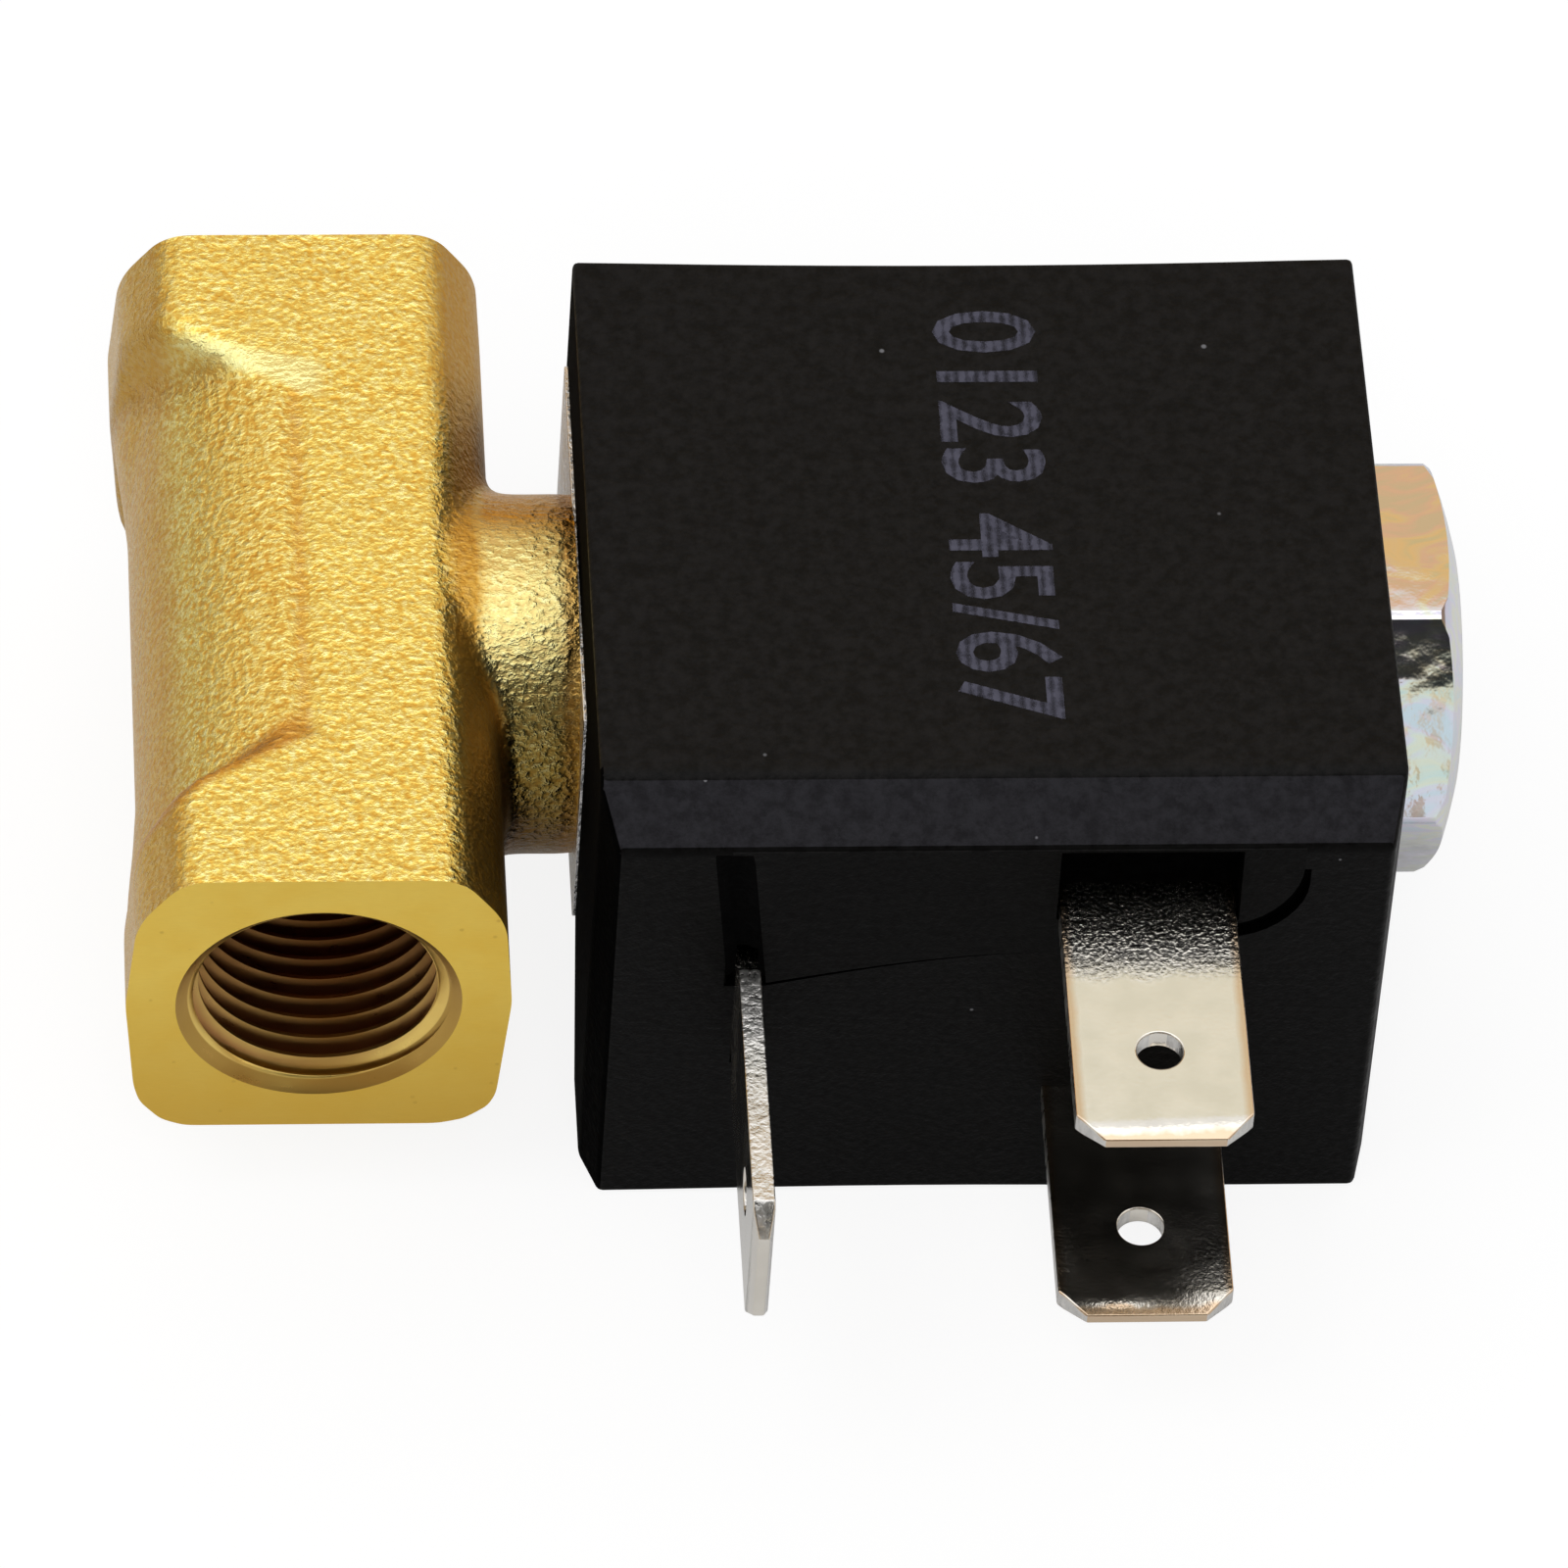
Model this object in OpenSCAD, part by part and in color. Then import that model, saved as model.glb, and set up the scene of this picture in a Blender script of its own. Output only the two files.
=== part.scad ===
// Small direct-acting solenoid valve, normally closed, with two G1/8 ports in line.
// +X runs along the armature from the brass body to the coil nut, +Y from the inlet to the
// outlet and +Z up. The origin is on the ports' axis, where the thread of the inlet begins.

/* [Body] */
// Length of the brass body from port face to port face
body_length = 30.8; // [28:0.2:40]
// Width of the body at the parting line of the forging
block_width = 13.8; // [13:0.1:18]
// Height of the body
block_height = 13.7; // [13:0.1:18]
// Length of the square block at each port, where it is longest
block_length = 7.1; // [6:0.1:9]
// How much shorter a block gets towards its outer side, for each unit of X
shoulder_slope = 0.6; // [0.2:0.05:0.7]
// Width of the corner cut along the body's edges
corner_width = 1.6; // [1:0.1:2.2]
// Height of the corner cut along the body's edges
corner_height = 2.3; // [1:0.1:2.6]
// How much narrower the body is at the corner cuts than at the parting line, on each side
forging_draft = 0.35; // [0.1:0.05:0.6]
// How much larger the radius of the waist's round side is than half of the body's height
waist_bulge = 0.15; // [0.05:0.05:0.4]
// Distance from the ports' axis to the centre of the waist's round side
waist_shift = 0.65; // [0.3:0.05:1]

/* [Ports] */
// Minor diameter of the port thread, G1/8
port_minor_d = 8.566; // [8.4:0.01:8.8]
// Depth of the port thread
port_depth = 8.5; // [7:0.1:9]
// Diameter of the lead-in at the mouth of each port
port_chamfer_d = 10.2; // [9.8:0.1:10.6]
// Depth of the lead-in at the mouth of each port
port_lead_in = 0.5; // [0.3:0.1:1]
// Diameter of the drilled passages
passage_d = 2.6; // [2:0.1:3]
// Wall between the chamber's floor and the outlet's passage
floor_wall = 1.1; // [0.8:0.1:1.4]
// Distance from the chamber's floor to the middle of the inlet's passage
inlet_rise = 0.7; // [0.4:0.1:1]
// Diameter of the orifice
orifice_d = 2; // [1:0.1:2.4]
// Diameter of the raised seat at its lip
seat_lip_d = 3.4; // [3:0.1:4]
// Diameter of the raised seat at its base
seat_base_d = 4.8; // [4.4:0.1:5.4]
// Height of the raised seat
seat_height = 1.6; // [1:0.1:2]

/* [Neck and armature tube] */
// Distance from the ports' axis to the coil
neck_reach = 9.6; // [9:0.1:12]
// Wall of the neck round the tube's flange
neck_wall = 0.75; // [0.6:0.05:1.2]
// Fillet between the neck and the body
neck_fillet = 1.3; // [0.4:0.1:1.8]
// Corner cut round the neck's end
neck_rim = 0.4; // [0.2:0.05:0.5]
// Distance from the ports' axis to the chamber's floor
chamber_floor = 2.2; // [1.8:0.1:2.6]
// Distance from the seat's lip to the ledge under the O-ring
ledge_rise = 0.8; // [0.6:0.1:1]
// Width of the ledge under the O-ring
ledge_width = 1; // [0.8:0.1:1.2]
// Outside diameter of the armature tube
tube_d = 9; // [8.6:0.1:9.2]
// Wall of the armature tube
tube_wall = 0.3; // [0.2:0.05:0.4]
// How far the flange on the armature tube stands out of it
flange_width = 1.25; // [1.1:0.05:1.5]
// Thickness of the flange on the armature tube
flange_thickness = 0.5; // [0.4:0.1:0.8]
// Thickness of the O-ring's section, as squeezed
o_ring_section = 1.1; // [1:0.05:1.3]
// Radial gap between pieces that slip together
slip_gap = 0.05; // [0.03:0.01:0.1]
// Radial gap between the armature tube and the coil that turns on it
turning_gap = 0.08; // [0.04:0.01:0.1]

/* [Plunger] */
// Length of the plunger
plunger_length = 18; // [15:0.1:20]
// Radial running gap of the plunger in the tube
plunger_gap = 0.08; // [0.03:0.01:0.1]
// Stroke of the plunger
plunger_stroke = 1.2; // [0.8:0.1:1.6]
// Diameter of the rubber disc in the plunger's nose
seal_d = 5.6; // [5:0.1:6]
// Thickness of the rubber disc
seal_thickness = 1.8; // [1.4:0.1:2.4]
// Width of the metal rim round the rubber disc
nose_rim = 0.6; // [0.4:0.1:0.9]
// Length of the taper at the plunger's nose
nose_taper = 1; // [0.6:0.1:1.4]
// How far the rubber disc stands out of the plunger
seal_proud = 0.45; // [0.3:0.05:0.6]
// Gap that keeps touching faces of moving pieces just apart
face_gap = 0.02; // [0.01:0.01:0.05]
// Width of the slots that let fluid pass the plunger
plunger_slot = 1.2; // [0.8:0.1:1.6]
// Depth of the slots that let fluid pass the plunger
plunger_slot_depth = 0.4; // [0.2:0.05:0.6]

/* [Return spring] */
// Outside diameter of the return spring
spring_d = 3.6; // [3.2:0.1:4.2]
// Wire diameter of the return spring
spring_wire = 0.4; // [0.3:0.05:0.5]
// Number of turns of the return spring
spring_turns = 6; // [4:1:8]
// Depth of the spring's pocket in the plunger
spring_pocket = 5.4; // [4:0.1:7]

/* [Fixed core] */
// How much smaller the radius of the nut's stud is than the tube's, an M8 thread on a 9 mm tube
stud_step = 0.5; // [0.4:0.05:0.8]
// Distance from the coil's far end to the end of the tube, where the core's shoulder meets it
tube_setback = 2.4; // [1.8:0.1:3]
// Length of the stud's thread inside the coil
stud_sunk = 0.2; // [0.1:0.1:0.5]
// Distance that the stud stops short of the nut's outer face
stud_recess = 0.5; // [0.2:0.1:1]
// Outer diameter of the shading ring
shading_d = 6.6; // [6:0.1:7]
// Width of the shading ring's section
shading_section = 0.7; // [0.5:0.1:0.9]

/* [Coil housing] */
// Length of the coil along the armature
coil_length = 28.8; // [26:0.2:36]
// Height of the coil
coil_height = 21.2; // [21:0.1:26]
// Wall of the coil over and under the bobbin
shell_wall = 1.4; // [1:0.1:2]
// Distance from the armature's axis to the coil's front
coil_front = 15.7; // [15:0.1:20]
// Chamfer along the coil's top front edge
front_chamfer = 2; // [1:0.1:2.6]
// Width along X of the cut at each upright front edge
edge_cut = 1; // [0.4:0.1:1.6]
// Depth of the relief under the bracket on the end face towards the body
end_relief = 0.9; // [0.4:0.1:1.2]

/* [Terminal pad] */
// How far the pad round the line tabs stands proud at its lower edge
pad_proud = 0.35; // [0.2:0.05:0.6]
// Height of the pad's lower edge at the earth tab, above the armature's axis
pad_low_z = 1.8; // [1:0.1:2.4]
// Height of the pad's lower edge beside the line tab
pad_high_z = 3.4; // [2.6:0.1:4]
// How far the pad reaches past the earth tab
pad_lead = 0.6; // [0.4:0.1:0.9]
// How far the pad reaches past the upper line tab
pad_margin = 2; // [1.8:0.1:3]
// Radius of the pad's rounded corner
pad_round = 1.6; // [1:0.1:1.7]
// Depth of the slots that the tabs stand in
slot_depth = 1.2; // [0.6:0.1:2]
// Width of the slanting slot over the earth tab
slot_width = 0.9; // [0.6:0.1:1.1]
// How far the slanting slot leans away from the earth tab towards its top
slot_lean = 0.9; // [0.4:0.1:1.2]

/* [Terminals] */
// Width of each tab
tab_width = 6.3; // [6:0.1:6.6]
// Thickness of each tab
tab_thickness = 0.8; // [0.5:0.1:1]
// Distance between the two line tabs
tab_spacing = 10; // [10:0.1:11]
// Length of a line tab in front of the coil
tab_reach = 10.4; // [8:0.1:12]
// How much further the earth tab reaches than the line tabs
ground_lead = 1.9; // [0:0.1:3]
// Distance from the coil's far end to the middle of the line tabs
line_tab_inset = 9.1; // [6.4:0.1:10]
// Distance from the coil's near end to the middle of the earth tab
ground_tab_inset = 5.6; // [5.4:0.1:8]
// Diameter of the hole in each tab
tab_hole_d = 1.65; // [1.4:0.05:2]
// Distance from a tab's tip to its hole
tab_hole_back = 3.9; // [3.6:0.1:4.6]
// Corner cut at a tab's tip
tab_corner = 1; // [0.5:0.1:1.3]
// Length of the bevel at a tab's tip
tab_bevel = 0.8; // [0.5:0.1:1.2]
// Depth of each tab inside the coil
tab_root = 2.6; // [2:0.1:3]

/* [Bracket] */
// Thickness of the bracket's plate
yoke_thickness = 1.2; // [1:0.1:1.6]
// Width of the bracket over and under the hole for the tube
yoke_margin = 0.92; // [0.8:0.02:1.6]
// Distance from the coil's back to the bracket's back edge
yoke_inset = 0.6; // [0.4:0.1:1]
// Distance from the armature's axis to the bracket's front edge
yoke_front_reach = 6.9; // [6:0.1:8]
// Thickness of the bracket's back web
yoke_web = 0.8; // [0.6:0.1:0.8]
// Thickness of the tongue that carries the earth tab
tongue_thickness = 0.7; // [0.5:0.1:0.8]
// Height of the tongue that carries the earth tab
tongue_height = 5; // [4:0.1:6]
// Slope of the relief under the bracket, in Y for each unit of Z
relief_slope = 0.75; // [0.4:0.05:1]

/* [Winding] */
// Wall of each flux sleeve
sleeve_wall = 0.67; // [0.5:0.01:0.9]
// Wall of the bobbin
bobbin_wall = 0.7; // [0.5:0.1:0.9]
// Gap between the bobbin's flanges and the bracket's web
back_gap = 0.1; // [0.05:0.05:0.3]
// How far the bobbin's flanges stand over the copper winding
flange_lip = 0.8; // [0.5:0.1:1.6]
// Thickness of the tape round the winding
tape_thickness = 0.2; // [0.1:0.05:0.3]
// Length of each flux sleeve
sleeve_length = 7; // [4:0.1:8]
// Diameter of the lead wires
lead_wire_d = 0.5; // [0.3:0.05:0.8]

/* [Nut] */
// Width of the nut across its flats
nut_flats = 13.5; // [13:0.5:15]
// Height of the nut
nut_height = 3.9; // [3:0.1:5]
// Radius of the nut's domed outer face
nut_dome = 21; // [16:1:40]
// How much of the nut's corners is turned off
nut_corner_cut = 0.1; // [0.05:0.01:0.4]
// Width of the bevel round the nut's outer face
nut_bevel = 0.3; // [0.2:0.1:0.8]
// Height of the bevel round the nut's outer face
nut_bevel_height = 0.3; // [0.2:0.1:0.8]
// Angle that the nut is turned about its axis
nut_turn = 26; // [0:1:60]

/* [Hidden] */
$fn = 64;

// Port faces and armature axis
inlet_y = -port_lead_in;
outlet_y = inlet_y + body_length;
axis_y = (inlet_y + outlet_y) / 2;

// Diameters that follow the armature tube's
tube_bore_d = tube_d - 2 * tube_wall;
tube_pass_d = tube_d + 2 * turning_gap;
plunger_d = tube_bore_d - 2 * plunger_gap;
stud_d = tube_d - 2 * stud_step;
flange_d = tube_d + 2 * flange_width;
ferrule_bore_d = flange_d + 2 * slip_gap;
chamber_d = ferrule_bore_d - 2 * ledge_width;
neck_d = ferrule_bore_d + 2 * neck_wall;
sleeve_d = tube_pass_d + 2 * sleeve_wall;
bobbin_bore_d = sleeve_d + 2 * slip_gap;
barrel_d = bobbin_bore_d + 2 * bobbin_wall;

// Diameters that follow the coil's height
bobbin_flange_d = coil_height - 2 * shell_wall;
winding_d = bobbin_flange_d - 2 * flange_lip;
wrap_d = winding_d + 2 * tape_thickness;

// Coil planes
coil_x = neck_reach;
coil_end_x = coil_x + coil_length;
coil_back_y = axis_y + bobbin_flange_d / 2 + back_gap + yoke_web + yoke_inset;
coil_front_y = axis_y - coil_front;
coil_top_z = coil_height / 2;

// Tube, seat and plunger planes along X
seat_x = chamber_floor + seat_height;
ledge_x = seat_x + ledge_rise;
flange_x = ledge_x + o_ring_section;
ferrule_x = flange_x + flange_thickness;
seal_x = seat_x + face_gap;
plunger_x = seal_x + seal_proud;
plunger_end_x = plunger_x + plunger_length;
core_x = plunger_end_x + plunger_stroke + face_gap;
core_shoulder_x = coil_end_x - tube_setback;
stud_x = coil_end_x - stud_sunk;
nut_x = coil_end_x;
stud_end_x = nut_x + nut_height - stud_recess;

// Where the drilled passages cross the body
inlet_x = chamber_floor + inlet_rise;
outlet_x = chamber_floor - passage_d / 2 - floor_wall;

// Bracket and winding planes
yoke_height = tube_pass_d + 2 * yoke_margin;
yoke_back_y = coil_back_y - yoke_inset;
yoke_front_y = axis_y - yoke_front_reach;
tongue_end_x = coil_x + yoke_thickness;
bobbin_x = coil_x + yoke_thickness;
bobbin_end_x = coil_end_x - yoke_thickness;
winding_x = bobbin_x + bobbin_wall;
winding_end_x = bobbin_end_x - bobbin_wall;

// Tab places
line_x = coil_end_x - line_tab_inset;
ground_x = coil_x + ground_tab_inset;
tab_root_y = coil_front_y + tab_root;
pad_top_z = coil_top_z - front_chamfer;

// Corner cut on the turned pieces, and how far a cutting shape runs past what it cuts
edge_break = 0.3;
overlap = 1;
small = 0.01;

// A solid of revolution about the armature's axis, its outline given as [radius, x]
module turned(outline, sides = 96) {
    translate([0, axis_y, 0])
        rotate([0, 90, 0])
            rotate_extrude($fn = sides)
                polygon(outline);
}

// A round bar or hole along the armature's axis, from x to x_end
module axial_bar(d, x, x_end, sides = 96) {
    translate([x, axis_y, 0])
        rotate([0, 90, 0])
            cylinder(d = d, h = x_end - x, $fn = sides);
}

// A round bar or hole along Y
module cross_bar(d, x, y, y_end, z = 0, sides = 96) {
    translate([x, y_end, z])
        rotate([90, 0, 0])
            cylinder(d = d, h = y_end - y, $fn = sides);
}

// A block from one corner to the other
module block(low, high) {
    translate(low)
        cube(high - low);
}

// An outline in XZ, drawn out along Y
module slab_y(y, y_end) {
    translate([0, y_end, 0])
        rotate([90, 0, 0])
            linear_extrude(height = y_end - y)
                children();
}

// An outline in YZ, drawn out along X
module slab_x(x, x_end) {
    translate([x, 0, 0])
        rotate([90, 0, 90])
            linear_extrude(height = x_end - x)
                children();
}

// ---- Brass body ----

// Cross-section of the forged bar, widest at the parting line
module bar_section() {
    w = block_width / 2;
    h = block_height / 2;
    side_w = w - forging_draft;
    side_z = h - corner_height;
    top_w = side_w - corner_width;
    polygon([
        [w, 0], [side_w, side_z], [top_w, h], [-top_w, h], [-side_w, side_z],
        [-w, 0], [-side_w, -side_z], [-top_w, -h], [top_w, -h], [side_w, -side_z]
    ]);
}

// Recess in the body's outer side, between the port blocks and down to the round waist
module waist_recess() {
    waist_r = block_height / 2 + waist_bulge;
    ridge_x = waist_shift - sqrt(waist_r * waist_r - block_height * block_height / 4);
    outer_x = -block_width / 2 - overlap;
    inner_y = shoulder_slope * (waist_shift - ridge_x) + block_length;
    outer_y = shoulder_slope * (outer_x - ridge_x) + block_length;
    difference() {
        translate([0, 0, -waist_r - overlap])
            linear_extrude(height = 2 * (waist_r + overlap))
                polygon([
                    [waist_shift, inlet_y + inner_y], [outer_x, inlet_y + outer_y],
                    [outer_x, outlet_y - outer_y], [waist_shift, outlet_y - inner_y]
                ]);
        cross_bar(2 * waist_r, waist_shift, inlet_y, outlet_y);
    }
}

// A threaded port's bore at its minor diameter, with the lead-in; inward is 1 at the inlet
module port_bore(mouth_y, inward) {
    translate([0, mouth_y, 0])
        rotate([-90 * inward, 0, 0])
            rotate_extrude($fn = 96)
                polygon([
                    [0, -overlap], [port_chamfer_d / 2, -overlap], [port_chamfer_d / 2, 0],
                    [port_minor_d / 2, port_lead_in], [port_minor_d / 2, port_depth], [0, port_depth]
                ]);
}

// Flare where the neck grows out of the body, between the corner cuts
module neck_root() {
    side_x = block_width / 2;
    side_z = block_height / 2 - corner_height;
    intersection() {
        turned([
            [0, side_x - overlap], [neck_d / 2 + neck_fillet + overlap, side_x - overlap],
            [neck_d / 2, side_x + neck_fillet], [0, side_x + neck_fillet]
        ]);
        block([0, inlet_y, -side_z], [neck_reach, outlet_y, side_z]);
    }
}

module valve_body() {
    passage_end_y = axis_y - seat_base_d / 2 - edge_break;
    color("goldenrod")
    difference() {
        union() {
            difference() {
                slab_y(inlet_y, outlet_y)
                    bar_section();
                waist_recess();
            }
            turned([
                [0, 0], [neck_d / 2, 0], [neck_d / 2, neck_reach - neck_rim],
                [neck_d / 2 - neck_rim, neck_reach], [0, neck_reach]
            ]);
            neck_root();
        }
        port_bore(inlet_y, 1);
        port_bore(outlet_y, -1);
        // Chamber round the seat, left standing in the middle
        turned([
            [0, seat_x], [seat_lip_d / 2, seat_x], [seat_base_d / 2, chamber_floor],
            [chamber_d / 2, chamber_floor], [chamber_d / 2, ledge_x], [ferrule_bore_d / 2, ledge_x],
            [ferrule_bore_d / 2, neck_reach + overlap], [0, neck_reach + overlap]
        ]);
        // Orifice, and the passages to the two ports
        axial_bar(orifice_d, outlet_x - orifice_d / 2, seat_x + overlap);
        cross_bar(passage_d, outlet_x, axis_y - orifice_d / 2, outlet_y - port_depth + overlap);
        cross_bar(passage_d, inlet_x, inlet_y + port_depth - overlap, passage_end_y);
    }
}

// ---- Armature tube and what is in it ----

module guide_tube() {
    color("silver")
    turned([
        [tube_bore_d / 2, flange_x], [flange_d / 2, flange_x], [flange_d / 2, ferrule_x],
        [tube_d / 2, ferrule_x], [tube_d / 2, core_shoulder_x], [tube_bore_d / 2, core_shoulder_x]
    ]);
}

module tube_ferrule() {
    color("darkgoldenrod")
    turned([
        [tube_pass_d / 2, ferrule_x], [flange_d / 2, ferrule_x],
        [flange_d / 2, neck_reach], [tube_pass_d / 2, neck_reach]
    ]);
}

module tube_o_ring() {
    ring_r = (flange_d - o_ring_section) / 2;
    color("black")
    translate([ledge_x + o_ring_section / 2, axis_y, 0])
        rotate([0, 90, 0])
            rotate_extrude($fn = 96)
                translate([ring_r, 0])
                    circle(d = o_ring_section, $fn = 32);
}

module fixed_core() {
    shading_r = shading_d / 2;
    color("gray")
    difference() {
        turned([
            [0, core_x], [tube_bore_d / 2, core_x], [tube_bore_d / 2, core_shoulder_x],
            [tube_d / 2, core_shoulder_x], [tube_d / 2, stud_x], [stud_d / 2, stud_x],
            [stud_d / 2, stud_end_x - edge_break], [stud_d / 2 - edge_break, stud_end_x], [0, stud_end_x]
        ]);
        // Groove for the shading ring
        turned([
            [shading_r - shading_section, core_x - overlap], [shading_r, core_x - overlap],
            [shading_r, core_x + shading_section], [shading_r - shading_section, core_x + shading_section]
        ]);
    }
}

module shading_ring() {
    ring_r = shading_d / 2;
    color("peru")
    turned([
        [ring_r - shading_section, core_x + face_gap], [ring_r, core_x + face_gap],
        [ring_r, core_x + shading_section], [ring_r - shading_section, core_x + shading_section]
    ]);
}

module plunger() {
    nose_d = seal_d + 2 * nose_rim;
    nose_end_x = plunger_x + nose_taper;
    slot_y = plunger_d / 2 - plunger_slot_depth;
    pocket_d = spring_d + 4 * slip_gap;
    color("lightsteelblue")
    difference() {
        turned([
            [0, plunger_x], [nose_d / 2, plunger_x], [plunger_d / 2, nose_end_x],
            [plunger_d / 2, plunger_end_x - edge_break], [plunger_d / 2 - edge_break, plunger_end_x],
            [0, plunger_end_x]
        ]);
        axial_bar(seal_d, plunger_x - overlap, seal_x + seal_thickness);
        axial_bar(pocket_d, plunger_end_x - spring_pocket, plunger_end_x + overlap);
        // Slots that let fluid pass along the plunger
        for (turn = [0, 180])
            translate([0, axis_y, 0])
                rotate([turn, 0, 0])
                    block(
                        [nose_end_x, slot_y, -plunger_slot / 2],
                        [plunger_end_x + overlap, slot_y + overlap, plunger_slot / 2]
                    );
    }
}

module plunger_seal() {
    color("darkred")
    axial_bar(seal_d, seal_x, seal_x + seal_thickness);
}

// Round wire wound on a helix along the armature's axis, as one closed mesh
module return_spring() {
    start_x = plunger_end_x - spring_pocket + spring_wire / 2;
    length = core_x - start_x - spring_wire / 2 - face_gap;
    mean_r = (spring_d - spring_wire) / 2;
    turn_steps = 16;
    sides = 6;
    steps = spring_turns * turn_steps;
    color("silver")
    polyhedron(
        points = [
            for (i = [0:steps], k = [0:sides - 1])
                let (turn = 360 * i / turn_steps, side = 360 * k / sides,
                     r = mean_r + spring_wire / 2 * cos(side))
                [
                    start_x + length * i / steps + spring_wire / 2 * sin(side),
                    axis_y + r * cos(turn),
                    r * sin(turn)
                ]
        ],
        faces = concat(
            [[for (k = [0:sides - 1]) sides - 1 - k]],
            [
                for (i = [0:steps - 1], k = [0:sides - 1])
                    let (next = (k + 1) % sides)
                    [i * sides + k, i * sides + next, (i + 1) * sides + next, (i + 1) * sides + k]
            ],
            [[for (k = [0:sides - 1]) steps * sides + k]]
        )
    );
}

// ---- Nut ----

module coil_nut() {
    across_corners = nut_flats / cos(30);
    corner_r = across_corners / 2 - nut_corner_cut;
    face_r = corner_r - nut_bevel;
    dome_x = nut_x + nut_height - nut_dome;
    rim_x = dome_x + sqrt(nut_dome * nut_dome - face_r * face_r);
    color("lightgray")
    difference() {
        intersection() {
            translate([nut_x, axis_y, 0])
                rotate([nut_turn, 0, 0])
                    rotate([0, 90, 0])
                        cylinder(d = across_corners, h = nut_height, $fn = 6);
            turned([
                [0, nut_x], [corner_r - edge_break, nut_x], [corner_r, nut_x + edge_break],
                [corner_r, rim_x - nut_bevel_height], [face_r, rim_x],
                [face_r, nut_x + nut_height + overlap], [0, nut_x + nut_height + overlap]
            ]);
            translate([dome_x, axis_y, 0])
                sphere(r = nut_dome, $fn = 128);
        }
        axial_bar(stud_d + 2 * slip_gap, nut_x - overlap, nut_x + nut_height + overlap);
    }
}

// ---- Coil ----

// Outline of the coil seen along the armature, in YZ
module coil_side_section() {
    polygon([
        [coil_back_y, -coil_top_z], [coil_back_y, coil_top_z],
        [coil_front_y + front_chamfer, coil_top_z], [coil_front_y, coil_top_z - front_chamfer],
        [coil_front_y, -coil_top_z]
    ]);
}

// The cut at an upright front edge of the coil; side is -1 at the body's end
module upright_cut(side) {
    end_x = side < 0 ? coil_x : coil_end_x;
    translate([end_x, coil_front_y, -coil_top_z - overlap])
        linear_extrude(height = coil_height + 2 * overlap)
            polygon([
                [0, front_chamfer], [-side * edge_cut, 0],
                [-side * edge_cut, -overlap], [side * overlap, -overlap], [side * overlap, front_chamfer]
            ]);
}

// Relief in the end face towards the body, under and behind the bracket
module end_relief_section() {
    drop = coil_top_z - yoke_height / 2 + overlap;
    polygon([
        [coil_back_y + overlap, -coil_top_z - overlap], [coil_back_y + overlap, -yoke_height / 2],
        [yoke_front_y, -yoke_height / 2], [yoke_front_y - relief_slope * drop, -coil_top_z - overlap]
    ]);
}

// Outline in XZ of the pad that the tabs stand in, its lower edge a shallow curve
module pad_section() {
    left = ground_x - pad_lead;
    curve_left = left + slot_width;
    tab_left = line_x - tab_width / 2;
    curve_length = tab_left - curve_left;
    right = line_x + tab_width / 2 + pad_margin;
    end_z = (tab_spacing - tab_thickness) / 2 + edge_break;
    curve_steps = 8;
    polygon(concat(
        [[left, pad_top_z]],
        [
            for (i = [0:curve_steps])
                [
                    curve_left + curve_length * i / curve_steps,
                    pad_low_z + (pad_high_z - pad_low_z) * sin(90 * i / curve_steps)
                ]
        ],
        [[tab_left, end_z], [right - pad_round, end_z], [right - pad_round, pad_top_z]]
    ));
    translate([right - pad_round, end_z + pad_round])
        circle(r = pad_round, $fn = 48);
    translate([right - pad_round - small, end_z + pad_round])
        square([pad_round + small, pad_top_z - end_z - pad_round]);
}

// The pad is flush at its top and stands proud at its lower edge
module terminal_pad() {
    intersection() {
        slab_y(coil_front_y - pad_proud - overlap, coil_front_y + small)
            pad_section();
        slab_x(coil_x, coil_end_x)
            polygon([
                [coil_front_y, pad_top_z], [coil_front_y - pad_proud, pad_low_z],
                [coil_front_y + overlap, pad_low_z], [coil_front_y + overlap, pad_top_z]
            ]);
    }
}

// A tab's outline, pointing to -Y from the coil's front, in its own XY plane
module tab_outline(reach) {
    half = tab_width / 2;
    tip_y = coil_front_y - reach;
    polygon([
        [-half, tab_root_y], [-half, tip_y + tab_corner], [tab_corner - half, tip_y],
        [half - tab_corner, tip_y], [half, tip_y + tab_corner], [half, tab_root_y]
    ]);
}

// A tab lying flat, its middle at the origin in X and Z
module tab(reach) {
    tip_y = coil_front_y - reach;
    half_t = tab_thickness / 2;
    tip_t = tab_thickness / 4;
    difference() {
        intersection() {
            translate([0, 0, -half_t])
                linear_extrude(height = tab_thickness)
                    tab_outline(reach);
            slab_x(-tab_width, tab_width)
                polygon([
                    [tip_y, -tip_t], [tip_y + tab_bevel, -half_t], [tab_root_y + overlap, -half_t],
                    [tab_root_y + overlap, half_t], [tip_y + tab_bevel, half_t], [tip_y, tip_t]
                ]);
        }
        translate([0, tip_y + tab_hole_back, -overlap])
            cylinder(d = tab_hole_d, h = 2 * overlap, $fn = 48);
    }
}

module line_terminal_upper() {
    color("gainsboro")
    translate([line_x, 0, tab_spacing / 2])
        tab(tab_reach);
}

module line_terminal_lower() {
    color("gainsboro")
    translate([line_x, 0, -tab_spacing / 2])
        tab(tab_reach);
}

// Strip that joins the earth tab's root to the bracket's tongue
module ground_foot() {
    block(
        [tongue_end_x, tab_root_y - tab_thickness, -tongue_height / 2],
        [ground_x, tab_root_y, tongue_height / 2]
    );
}

module ground_terminal() {
    color("gainsboro") {
        translate([ground_x, 0, 0])
            rotate([0, 90, 0])
                tab(tab_reach + ground_lead);
        ground_foot();
    }
}

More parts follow.
